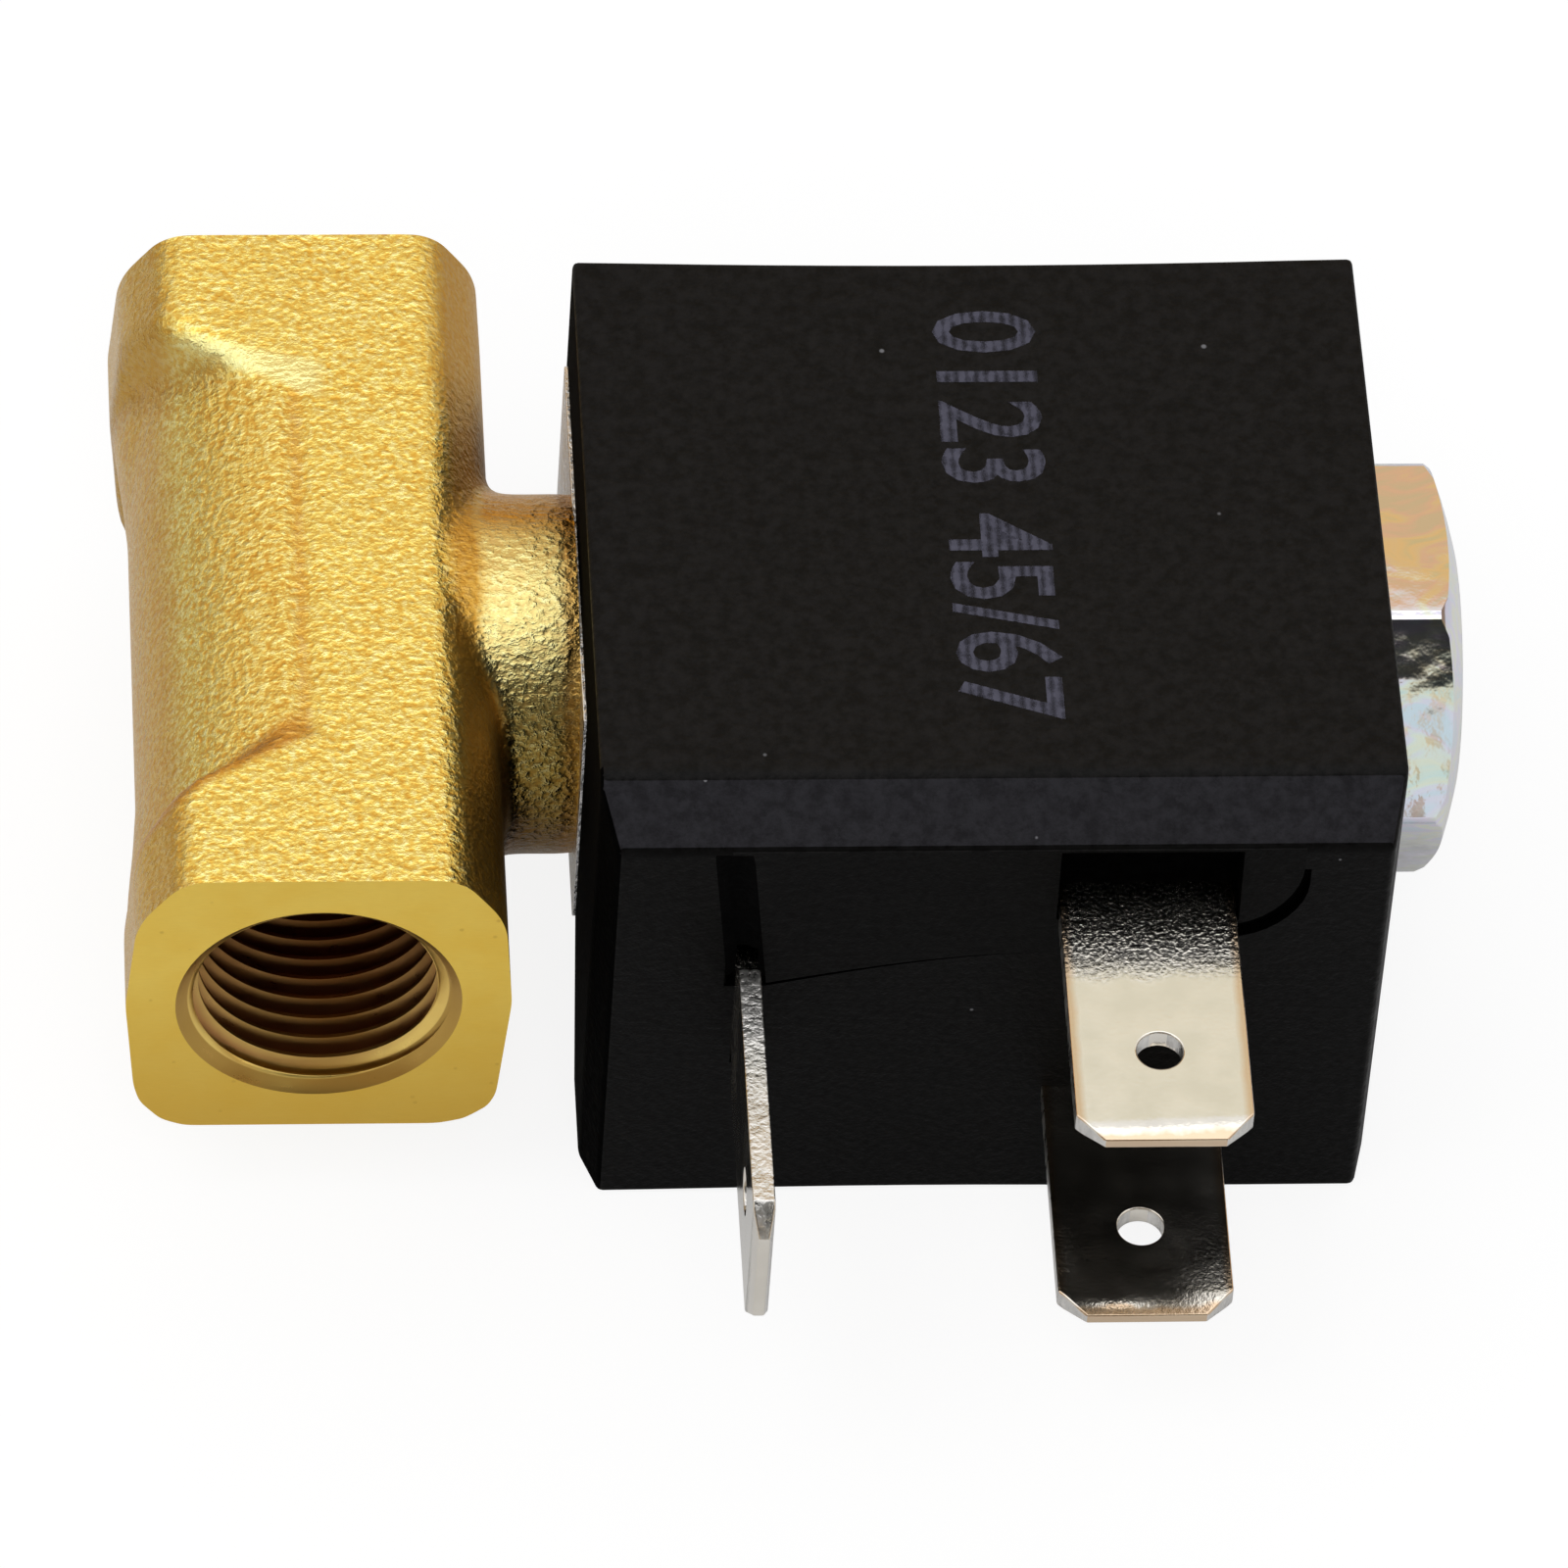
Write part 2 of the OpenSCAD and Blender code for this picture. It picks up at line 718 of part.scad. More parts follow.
// Room for a tab's root inside the coil, exactly its own size
module tab_socket(turn) {
    rotate([0, turn, 0])
        block(
            [-tab_width / 2, coil_front_y - overlap, -tab_thickness / 2],
            [tab_width / 2, tab_root_y, tab_thickness / 2]
        );
}

module coil_housing() {
    slot_half = tab_width / 2 + 2 * slip_gap;
    slot_left = ground_x - pad_lead - slot_lean;
    slot_top_z = pad_top_z - 2 * slip_gap;
    color("dimgray")
    difference() {
        union() {
            difference() {
                slab_x(coil_x, coil_end_x)
                    coil_side_section();
                upright_cut(-1);
                upright_cut(1);
            }
            terminal_pad();
        }
        // Relief in the end face towards the body
        slab_x(coil_x - overlap, coil_x + end_relief)
            end_relief_section();
        // Room for the bobbin and the winding, and for the bracket let in to both end faces
        axial_bar(bobbin_flange_d, bobbin_x, winding_x);
        axial_bar(wrap_d, winding_x - small, winding_end_x + small);
        axial_bar(bobbin_flange_d, winding_end_x, bobbin_end_x);
        yoke_solid();
        axial_bar(tube_pass_d, coil_x - overlap, coil_end_x + overlap);
        // Slot over the upper line tab, and the sockets of the three tabs
        block(
            [line_x - slot_half, coil_front_y - overlap, tab_spacing / 2],
            [line_x + slot_half, coil_front_y + slot_depth, slot_top_z]
        );
        translate([line_x, 0, tab_spacing / 2])
            tab_socket(0);
        translate([line_x, 0, -tab_spacing / 2])
            tab_socket(0);
        translate([ground_x, 0, 0])
            tab_socket(90);
        ground_foot();
        // Slanting slot over the earth tab
        slab_y(coil_front_y - overlap, coil_front_y + slot_depth)
            polygon([
                [slot_left, slot_top_z], [slot_left + slot_width, slot_top_z],
                [slot_left + slot_lean + slot_width, pad_low_z], [slot_left + slot_lean, pad_low_z]
            ]);
        lead_channel(1);
        lead_channel(-1);
    }
}

// ---- Bracket ----

// The bracket without its holes: two end plates, a back web and a tongue for the earth tab
module yoke_solid() {
    half = yoke_height / 2;
    block([coil_x, yoke_front_y, -half], [bobbin_x, yoke_back_y, half]);
    block([bobbin_end_x, yoke_front_y, -half], [coil_end_x, yoke_back_y, half]);
    block([coil_x, yoke_back_y - yoke_web, -half], [coil_end_x, yoke_back_y, half]);
    block(
        [tongue_end_x - tongue_thickness, tab_root_y - tab_thickness, -tongue_height / 2],
        [tongue_end_x, yoke_front_y + overlap, tongue_height / 2]
    );
}

module yoke_frame() {
    color("lightgray")
    difference() {
        yoke_solid();
        axial_bar(tube_pass_d, coil_x - overlap, coil_end_x + overlap);
    }
}

// Flux sleeve in the bobbin's bore
module flux_sleeve(x) {
    turned([
        [tube_pass_d / 2, x], [sleeve_d / 2, x],
        [sleeve_d / 2, x + sleeve_length], [tube_pass_d / 2, x + sleeve_length]
    ]);
}

module yoke_sleeve_left() {
    color("gray")
    flux_sleeve(bobbin_x);
}

module yoke_sleeve_right() {
    color("gray")
    flux_sleeve(bobbin_end_x - sleeve_length);
}

module bobbin() {
    color("ivory")
    turned([
        [bobbin_bore_d / 2, bobbin_x], [bobbin_flange_d / 2, bobbin_x], [bobbin_flange_d / 2, winding_x],
        [barrel_d / 2, winding_x], [barrel_d / 2, winding_end_x], [bobbin_flange_d / 2, winding_end_x],
        [bobbin_flange_d / 2, bobbin_end_x], [bobbin_bore_d / 2, bobbin_end_x]
    ]);
}

module coil_winding() {
    color("chocolate")
    turned([
        [barrel_d / 2, winding_x], [winding_d / 2, winding_x],
        [winding_d / 2, winding_end_x], [barrel_d / 2, winding_end_x]
    ]);
}

module winding_tape() {
    color("khaki")
    turned([
        [winding_d / 2, winding_x], [wrap_d / 2, winding_x],
        [wrap_d / 2, winding_end_x], [winding_d / 2, winding_end_x]
    ]);
}

// Channel for a lead wire through the housing, from the winding to a tab; rise is 1 or -1
module lead_channel(rise) {
    cross_bar(lead_wire_d, line_x, tab_root_y - small, axis_y - barrel_d / 2, rise * tab_spacing / 2, 24);
}

// A straight lead wire from a tab's root to the tape round the winding
module lead_wire(rise) {
    z = rise * tab_spacing / 2;
    reach = sqrt(wrap_d * wrap_d / 4 - z * z);
    difference() {
        cross_bar(lead_wire_d, line_x, tab_root_y, axis_y - reach + overlap, z, 24);
        axial_bar(wrap_d, line_x - overlap, line_x + overlap);
    }
}

module lead_wire_upper() {
    color("peru")
    lead_wire(1);
}

module lead_wire_lower() {
    color("peru")
    lead_wire(-1);
}

valve_body();
guide_tube();
tube_ferrule();
tube_o_ring();
fixed_core();
shading_ring();
coil_nut();
plunger();
plunger_seal();
return_spring();
coil_housing();
yoke_frame();
yoke_sleeve_left();
yoke_sleeve_right();
bobbin();
coil_winding();
winding_tape();
lead_wire_upper();
lead_wire_lower();
line_terminal_upper();
line_terminal_lower();
ground_terminal();
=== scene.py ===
import math

import bmesh
import bpy
from mathutils import Matrix, Vector


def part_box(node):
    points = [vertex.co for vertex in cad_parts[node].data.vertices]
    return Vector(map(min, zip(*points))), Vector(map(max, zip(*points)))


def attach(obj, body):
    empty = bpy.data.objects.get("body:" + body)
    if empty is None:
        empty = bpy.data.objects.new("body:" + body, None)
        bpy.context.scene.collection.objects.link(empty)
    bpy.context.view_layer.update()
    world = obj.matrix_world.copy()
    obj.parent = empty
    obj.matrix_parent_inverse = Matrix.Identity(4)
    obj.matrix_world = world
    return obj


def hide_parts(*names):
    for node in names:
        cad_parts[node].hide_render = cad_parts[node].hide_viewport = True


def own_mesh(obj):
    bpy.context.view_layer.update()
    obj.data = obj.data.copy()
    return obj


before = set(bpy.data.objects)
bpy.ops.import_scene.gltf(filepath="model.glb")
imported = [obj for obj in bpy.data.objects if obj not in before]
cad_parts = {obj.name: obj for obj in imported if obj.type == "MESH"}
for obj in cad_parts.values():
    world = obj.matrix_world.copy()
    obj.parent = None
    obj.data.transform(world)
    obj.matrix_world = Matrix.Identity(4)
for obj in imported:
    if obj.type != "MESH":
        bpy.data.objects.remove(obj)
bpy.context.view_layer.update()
mm = 0.001  # sizes below are in millimetres, Blender's are in metres


def cornersOf(node):
    low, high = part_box(node)
    return low / mm, high / mm


bodyLow, bodyHigh = cornersOf("valve_body")
coilLow, coilHigh = cornersOf("coil_housing")
bracketLow, bracketHigh = cornersOf("yoke_frame")
tubeHigh = cornersOf("guide_tube")[1]
nutLow, nutHigh = cornersOf("coil_nut")
axisY = (bodyLow.y + bodyHigh.y) / 2  # the armature's axis runs along X at this Y and Z 0


def makeActive(piece):
    bpy.ops.object.select_all(action="DESELECT")
    piece.select_set(True)
    bpy.context.view_layer.objects.active = piece


def settle(piece):
    makeActive(piece)
    bpy.ops.object.transform_apply(location=True, rotation=True, scale=True)
    return piece


# One more primitive, with nothing else selected and its place in its mesh
def add(name, operator, **settings):
    bpy.ops.object.select_all(action="DESELECT")
    operator(**settings)
    piece = bpy.context.object
    piece.name = name
    return settle(piece)


def addBlock(name, low, high):
    low = Vector(low) * mm
    high = Vector(high) * mm
    return add(name, bpy.ops.mesh.primitive_cube_add, size=1, location=(low + high) / 2,
               scale=high - low)


# Edit mode on one piece, with the parts selected whose middle and direction pass the test
def pick(piece, kind, test):
    makeActive(piece)
    bpy.ops.object.mode_set(mode="EDIT")
    bpy.ops.mesh.select_mode(type=kind)
    bpy.ops.mesh.select_all(action="DESELECT")
    shape = bmesh.from_edit_mesh(piece.data)
    parts = {"VERT": shape.verts, "EDGE": shape.edges, "FACE": shape.faces}[kind]
    for part in parts:
        if kind == "VERT":
            middle, way = part.co, part.normal
        elif kind == "EDGE":
            middle = (part.verts[0].co + part.verts[1].co) / 2
            way = (part.verts[1].co - part.verts[0].co).normalized()
        else:
            middle, way = part.calc_center_median(), part.normal
        if test(middle / mm, way):
            part.select_set(True)
    shape.select_flush_mode()
    bmesh.update_edit_mesh(piece.data)


def leaveEdit():
    bpy.ops.object.mode_set(mode="OBJECT")


# Runs one edit mode operator on what passes the test
def edit(piece, kind, test, operator, **settings):
    pick(piece, kind, test)
    operator(**settings)
    leaveEdit()


def everywhere(middle, way):
    return True


def moveCorners(piece, test, step):
    value = [length * mm for length in step]
    edit(piece, "VERT", test, bpy.ops.transform.translate, value=value)


def scaleCorners(piece, test, ratio, centre=(0, 0, 0)):
    centre = Vector(centre) * mm
    edit(piece, "VERT", test, bpy.ops.transform.resize, value=ratio, center_override=centre)


def extrudeFaces(piece, test, step):
    value = [length * mm for length in step]
    edit(piece, "FACE", test, bpy.ops.mesh.extrude_region_move,
         TRANSFORM_OT_translate={"value": value})


def bevelEdges(piece, test, width, steps):
    edit(piece, "EDGE", test, bpy.ops.mesh.bevel, offset=width * mm, segments=steps, profile=0.5,
         affect="EDGES", clamp_overlap=False)


# Cuts along a plane; with clear, what lies on the normal's side goes and the cut is closed
def planeCut(piece, point, normal, clear=True):
    makeActive(piece)
    bpy.ops.object.mode_set(mode="EDIT")
    bpy.ops.mesh.select_all(action="SELECT")
    bpy.ops.mesh.bisect(
        plane_co=Vector(point) * mm, plane_no=Vector(normal).normalized(),
        use_fill=clear, clear_outer=clear, threshold=1e-8,
    )
    leaveEdit()


# Round piece about an axis along X or Y, its outline given as (radius, place on the axis)
def turn(name, outline, axis="X", centre=(axisY, 0), sides=96):
    alongX = axis == "X"

    def spot(place):
        across, height = centre
        point = (place, across, height) if alongX else (across, place, height)
        return Vector(point) * mm

    radius, place = outline[0]
    piece = add(
        name, bpy.ops.mesh.primitive_circle_add, vertices=sides, radius=radius * mm,
        fill_type="NGON", location=spot(place),
        rotation=(0, math.pi / 2, 0) if alongX else (math.pi / 2, 0, 0))
    bpy.ops.object.mode_set(mode="EDIT")
    bpy.ops.mesh.select_all(action="SELECT")
    for nextRadius, nextPlace in outline[1:]:
        step = spot(nextPlace) - spot(place)
        ratio = nextRadius / radius
        bpy.ops.mesh.extrude_region_move(TRANSFORM_OT_translate={"value": step})
        size = (1, ratio, ratio) if alongX else (ratio, 1, ratio)
        bpy.ops.transform.resize(value=size, center_override=spot(nextPlace))
        radius, place = nextRadius, nextPlace
    bpy.ops.mesh.select_all(action="SELECT")
    bpy.ops.mesh.remove_doubles(threshold=1e-8)
    bpy.ops.mesh.normals_make_consistent(inside=False)
    leaveEdit()
    return piece


def applyModifier(piece, kind, settings):
    makeActive(piece)
    modifier = piece.modifiers.new(kind.lower(), kind)
    for name, value in settings.items():
        setattr(modifier, name, value)
    bpy.ops.object.modifier_apply(modifier=modifier.name)
    return piece


def combine(piece, other, operation):
    applyModifier(piece, "BOOLEAN", {"operation": operation, "solver": "EXACT", "object": other})
    bpy.data.objects.remove(other)
    return piece


def cut(piece, *tools):
    for tool in tools:
        combine(piece, tool, "DIFFERENCE")
    return piece


def join(piece, *others):
    for other in others:
        combine(piece, other, "UNION")
    return piece


# How far a value has come from one place to the next, from 0 to 1
def shareOf(value, start, end):
    return min(max((value - start) / (end - start), 0), 1)


# Merges the corners that cuts leave within a hair of each other, and closes what is open
def mend(piece, reach=0.002):
    pick(piece, "VERT", everywhere)
    bpy.ops.mesh.remove_doubles(threshold=reach * mm)
    bpy.ops.mesh.dissolve_degenerate(threshold=reach * mm)
    bpy.ops.mesh.select_all(action="DESELECT")
    bpy.ops.mesh.select_non_manifold()
    bpy.ops.mesh.fill()
    bpy.ops.mesh.select_all(action="SELECT")
    bpy.ops.mesh.normals_make_consistent(inside=False)
    leaveEdit()


def copyOf(piece, name):
    twin = piece.copy()
    twin.data = piece.data.copy()
    twin.name = name
    bpy.context.scene.collection.objects.link(twin)
    return twin


def turnRound(piece, degrees, axis, centre):
    middle = Vector(centre) * mm
    turned = Matrix.Translation(middle) @ Matrix.Rotation(math.radians(degrees), 4, axis)
    piece.matrix_world = turned @ Matrix.Translation(-middle) @ piece.matrix_world
    return settle(piece)


# Edges that turn by more than the angle are rounded
def roundEdges(piece, width, angle):
    applyModifier(piece, "BEVEL", {
        "width": width * mm, "segments": 2, "limit_method": "ANGLE",
        "angle_limit": math.radians(angle), "use_clamp_overlap": False, "miter_outer": "MITER_ARC",
    })


def smoothShade(piece, degrees=30):
    makeActive(piece)
    bpy.ops.object.shade_smooth_by_angle(angle=math.radians(degrees))


# Keeps large flat faces flat beside their rounded edges
def flattenShade(piece, degrees=50):
    smoothShade(piece, degrees)
    applyModifier(piece, "WEIGHTED_NORMAL", {"keep_sharp": True, "weight": 90})


# Winds an outline that stands beside the Z axis up round it, and closes both ends
def wind(piece, pitch, turns, steps):
    applyModifier(piece, "SCREW", {
        "axis": "Z", "angle": math.tau, "screw_offset": pitch * mm, "iterations": turns,
        "steps": steps, "render_steps": steps})
    for end in (0, pitch * turns):
        edit(piece, "VERT", lambda middle, way: (
            abs(middle.y) < 0.001 and middle.x > 0 and abs(middle.z - end) < pitch / 2),
            bpy.ops.mesh.edge_face_add)
    edit(piece, "FACE", everywhere, bpy.ops.mesh.normals_make_consistent, inside=False)


# Ridge of a screw thread about the Z axis, thick at its inner radius and thin at its outer one
def windThread(name, inner, outer, innerHalf, outerHalf, pitch, turns, steps=64):
    upright = (math.pi / 2, 0, 0)
    piece = add(name, bpy.ops.mesh.primitive_plane_add, size=1, rotation=upright)
    piece.scale = ((outer - inner) * mm, 1, 2 * innerHalf * mm)
    piece.location = ((outer + inner) / 2 * mm, 0, 0)
    settle(piece)
    scaleCorners(piece, lambda middle, way: middle.x > (inner + outer) / 2,
                 (1, 1, outerHalf / innerHalf))
    edit(piece, "FACE", everywhere, bpy.ops.mesh.delete, type="ONLY_FACE")
    wind(piece, pitch, turns, steps)
    return piece


# One output of a shader node: arithmetic on it adds Math nodes
class Wire:
    def __init__(self, recipe, socket):
        self.recipe = recipe
        self.socket = socket

    def maths(self, operation, first, second):
        return self.recipe.node(
            "ShaderNodeMath", {"operation": operation}, {0: first, 1: second})

    def __add__(self, other):
        return self.maths("ADD", self, other)

    def __radd__(self, other):
        return self.maths("ADD", other, self)

    def __sub__(self, other):
        return self.maths("SUBTRACT", self, other)

    def __rsub__(self, other):
        return self.maths("SUBTRACT", other, self)

    def __mul__(self, other):
        return self.maths("MULTIPLY", self, other)

    def __rmul__(self, other):
        return self.maths("MULTIPLY", other, self)

    def __truediv__(self, other):
        return self.maths("DIVIDE", self, other)

    def __rtruediv__(self, other):
        return self.maths("DIVIDE", other, self)

    def __pow__(self, other):
        return self.maths("POWER", self, other)


# The shader nodes of a material or of the world
class Recipe:
    def __init__(self, owner):
        owner.use_nodes = True
        self.owner = owner
        self.tree = owner.node_tree
        self.tree.nodes.clear()

    def node(self, kind, settings=None, inputs=None, output=0):
        made = self.tree.nodes.new(kind)
        for name, value in (settings or {}).items():
            if name == "stops":
                ramp = made.color_ramp
                while len(ramp.elements) < len(value):
                    ramp.elements.new(0.5)
                for element, (place, colour) in zip(ramp.elements, value):
                    element.position = place
                    element.color = colour
            else:
                setattr(made, name, value)
        for name, value in (inputs or {}).items():
            if isinstance(value, Wire):
                self.tree.links.new(value.socket, made.inputs[name])
            else:
                made.inputs[name].default_value = value
        if made.outputs:
            return Wire(self, made.outputs[output])
        return self.owner

    def surface(self, inputs):
        shader = self.node("ShaderNodeBsdfPrincipled", {}, inputs)
        return self.node("ShaderNodeOutputMaterial", {}, {"Surface": shader})

    def metal(self, toned, rough, height, depth):
        return self.surface({
            "Base Color": toned, "Metallic": 1.0, "Roughness": rough, "Normal": bumpOf(height, depth)})


def newRecipe(name):
    return Recipe(bpy.data.materials.new(name))


def colour(red, green, blue):
    return (red, green, blue, 1)


def grey(level):
    return (level, level, level, 1)


# Object coordinates, stretched or turned where a pattern has a direction
def placeOn(recipe, stretch=(1, 1, 1), turned=(0, 0, 0)):
    spot = recipe.node("ShaderNodeTexCoord", output="Object")
    return recipe.node("ShaderNodeMapping", {}, {
        "Vector": spot, "Scale": stretch, "Rotation": turned})


# Cloudy pattern whose patches are about as wide as size, in millimetres
def clouds(place, size, detail=2, rough=0.5, twist=0):
    return place.recipe.node("ShaderNodeTexNoise", {}, {
        "Vector": place, "Scale": 1 / (size * mm), "Detail": detail, "Roughness": rough,
        "Distortion": twist})


def cells(place, size, output="Distance"):
    return place.recipe.node("ShaderNodeTexVoronoi", {}, {
        "Vector": place, "Scale": 1 / (size * mm)}, output)


def axisOf(place, axis):
    return place.recipe.node("ShaderNodeSeparateXYZ", {}, {0: place}, axis)


# Runs from one level to another as the value passes from low to high
def between(value, low, high, start=0, end=1):
    return value.recipe.node("ShaderNodeMapRange", {}, {
        "Value": value, "From Min": low, "From Max": high, "To Min": start, "To Max": end})


# Runs from 0 at the first place to 1 at the second, in millimetres
def ramp(value, places):
    return between(value, places[0] * mm, places[1] * mm)


# Begins at one place, is full at the next, fades from the third and ends at the fourth
def stretchOf(value, start, full, fade, end):
    return ramp(value, (start, full)) * ramp(value, (end, fade))


# How far a value is from 0, whichever its sign
def farOff(value):
    return (value * value) ** 0.5


def tint(mask, first, second):
    return mask.recipe.node("ShaderNodeMix", {"data_type": "RGBA"}, {0: mask, 6: first, 7: second}, 2)


def bumpOf(height, depth):
    return height.recipe.node("ShaderNodeBump", {}, {"Height": height, "Distance": depth * mm})


blastedBrassLook = {
    "grainSize": 0.2,
    "grainStretch": (0.8, 1, 1),
    "grainDepth": 0.07,
    "dimpleSize": 0.36,
    "patchSize": 3.5,
    "patchShare": 0.25,
    "pit": colour(0.78, 0.46, 0.066),
    "middle": colour(0.86, 0.68, 0.17),
    "peak": colour(0.94, 0.87, 0.38),
    # hollow: painted shade in hollows, the ridge's groove, the front crease and on the waist's grain
    # lows
    "hollow": colour(0.6, 0.28, 0.045),
    # edge: painted reflection, the long edges darker orange
    "edge": colour(0.58, 0.3, 0.045),
    "edgeReflectionShare": (0.85, 0.7),  # how much of its tint the right and the left edge take
    "rough": (0.34, 0.2),
    "edgeRough": 0.16,
    # Places in millimetres, in the order in which a tint begins, is full, fades and ends
    "rightEdge": (4.5, 5.3, 7.0, 7.7),
    "leftEdge": (-4.5, -5.3),
    "neckFrom": (5.9, 6.4),
    # Painted light and shade on the neck: a highlight on its top, warm reflection at its back and end,
    # shade under it and in its nook
    "neckHighlight": colour(0.74, 0.66, 0.34),
    "neckHighlightShare": 0.5,
    "neckTop": (2.0, 5.0),
    "neckRadius": (6.9, 6.65),
    "neckBack": (0.9, 2.3),
    "neckUnder": (3.2, -1.5),
    "neckEnd": (9.1, 9.5),
    "neckWarmReflection": colour(0.64, 0.3, 0.02),
    "neckWarmReflectionShare": (0.9, 0.5),  # at the back and at the end
    "neckShade": colour(0.34, 0.19, 0.05),
    "neckShadeShare": 0.93,
    "nookAcross": (8.6, 7.2),
    "nookUnder": (2.4, -1.0),
    "nookShadeShare": 0.92,
    # shade: painted shade in deep places and in the neck's nook
    "shade": colour(0.1, 0.05, 0.012),
    "shadeReach": 5.0,
    "shadeOpen": (0.66, 0.22),
    "hollowReach": 1.0,
    "hollowOpen": (0.92, 0.72),
    "deepShadeShare": 0.9,
    "deepLessAtPlate": 0.7,
    "ridgeX": -0.4,
    "ridgeHalf": (0.32, 0.08),
    "ridgeLength": (9.4, 8.2),
    "ridgeShadeShare": (0.2, 0.5),
    # Painted shade in the front crease and on the waist's grain lows, painted highlight on the back
    # lip, painted shade on the back wall
    "creaseX": (-0.1, -0.8),
    "creaseAhead": (0.75, 0.35),
    "creaseBehind": (-1.0, -0.4),
    "creaseShadeShare": 0.8,
    "waistEnd": (0.0, -0.5),
    "waistShadeShare": 0.32,
    "lip": colour(0.9, 0.86, 0.4),
    "lipX": (-5.0, -4.4, 0.1, 0.7),
    "lipFoot": (-0.25, 0.05),
    "lipTop": (1.7, 1.3),
    "lipLean": 0.283,
    "lipHeight": (6.0, 6.6),
    "lipHighlightShare": 0.75,
    "wallShade": colour(0.4, 0.22, 0.06),
    "wallWide": (1.3, 0.3),
    "wallShare": 0.45,
}


# How open a place is within its reach, from 0 to 1
def openness(recipe, reach, samples):
    return recipe.node(
        "ShaderNodeAmbientOcclusion", {"samples": samples}, {"Distance": reach * mm}, "AO")


def blastedBrass():
    look = blastedBrassLook
    recipe = newRecipe("blastedBrass")
    place = placeOn(recipe)
    grain = clouds(placeOn(recipe, look["grainStretch"]), look["grainSize"], 2.5, 0.6)
    dimples = cells(placeOn(recipe, look["grainStretch"]), look["dimpleSize"])
    slow = clouds(place, look["patchSize"], 3, 0.55)
    toned = recipe.node("ShaderNodeValToRGB", {"stops": [
        (0.34, look["pit"]), (0.5, look["middle"]), (0.64, look["peak"])]}, {0: grain})
    uneven = (slow - 0.5) * mm
    across = axisOf(place, "X") + uneven
    along = axisOf(place, "Y") - axisY * mm
    high = axisOf(place, "Z")
    # Painted reflection darkening the long edges to orange, and painted light and shade on the round
    # neck that grows out of the right one
    reach = (along * along + high * high) ** 0.5
    neck = ramp(across, look["neckFrom"]) * ramp(reach, look["neckRadius"])
    neckEnd = ramp(across, look["neckEnd"])
    right = stretchOf(across, *look["rightEdge"]) * (1 - neck)
    left = ramp(across, look["leftEdge"])
    # Painted reflection: the long edges tinted darker orange
    edges = right * look["edgeReflectionShare"][0] + left * look["edgeReflectionShare"][1]
    # Painted highlight paling the neck's top
    neckTop = neck * ramp(high, look["neckTop"])
    # Painted reflection: warm orange at the neck's back and at its end
    neckBack = neck * ramp(along, look["neckBack"])
    neckWarmReflection = neckBack * look["neckWarmReflectionShare"][0] + neckEnd * look["neckWarmReflectionShare"][1]
    # Painted shade under the neck and in the nook beside the body
    neckUnder = neck * ramp(high, look["neckUnder"])
    nookShade = neck * ramp(across, look["nookAcross"]) * ramp(high, look["nookUnder"])
    # Painted shade in the groove along the waist's ridge
    farAlong = farOff(along)
    ridgeShade = ramp(farOff(across - uneven * 0.7 - look["ridgeX"] * mm), look["ridgeHalf"])
    ridgeShade = ridgeShade * ramp(farAlong, look["ridgeLength"])
    # Painted shade on the waist's grain lows and in the orange crease along its front end, a painted
    # highlight on the bright lip and painted shade on the brown wall along the back one
    lean = (brassBody["shoulderInner"] - brassBody["shoulderOuter"]) / (
        brassBody["waistX"] - bodyLow.x + 1)
    half = axisY - bodyLow.y - brassBody["shoulderInner"] + lean * brassBody["waistX"]
    outside = farAlong - half * mm + across * lean
    inWaist = ramp(across, look["creaseX"])
    waist = inWaist * ramp(outside, look["waistEnd"])
    creaseShade = ramp(outside, look["creaseAhead"]) * ramp(outside, look["creaseBehind"]) * inWaist
    atBack = ramp(along, (0, 1))
    onTop = ramp(high, look["lipHeight"])
    lip = ramp(outside, look["lipFoot"]) * ramp(outside - across * look["lipLean"], look["lipTop"])
    lip = lip * stretchOf(across, *look["lipX"]) * onTop
    wall = ramp(farOff(outside), look["wallWide"]) * inWaist * (1 - onTop)
    # Painted shade in hollows and deep places, though not where the neck meets the bracket's plate
    atPlate = 1 - neckEnd * neck * look["deepLessAtPlate"]
    share = look["deepShadeShare"]
    hollow = between(openness(recipe, look["hollowReach"], 8), *look["hollowOpen"], 0, share)
    deepShade = between(openness(recipe, look["shadeReach"], 6), *look["shadeOpen"], 0, share)
    # After the first, random patches of tone, the tints are painted reflection, highlights and shade
    for mask, shade in (
        (between(slow, 0.35, 0.7, 0, look["patchShare"]), "middle"),
        (edges, "edge"),
        (neckTop * look["neckHighlightShare"], "neckHighlight"),
        (neckWarmReflection, "neckWarmReflection"),
        (neckUnder * look["neckShadeShare"], "neckShade"),
        (nookShade * look["nookShadeShare"], "shade"),
        (ridgeShade * between(grain, 0.3, 0.6, *look["ridgeShadeShare"]), "hollow"),
        (waist * between(grain, 0.55, 0.38, 0, look["waistShadeShare"]), "hollow"),
        (creaseShade * (1 - atBack) * look["creaseShadeShare"], "hollow"),
        (wall * atBack * look["wallShare"], "wallShade"),
        (lip * atBack * look["lipHighlightShare"], "lip"),
        (hollow * atPlate, "hollow"),
        (deepShade * atPlate, "shade"),
    ):
        toned = tint(mask, toned, look[shade])
    rough = between(grain, 0.3, 0.7, *look["rough"]) + right * look["edgeRough"]
    return recipe.metal(toned, rough, grain + dimples * 0.5 + slow * 1.5, look["grainDepth"])


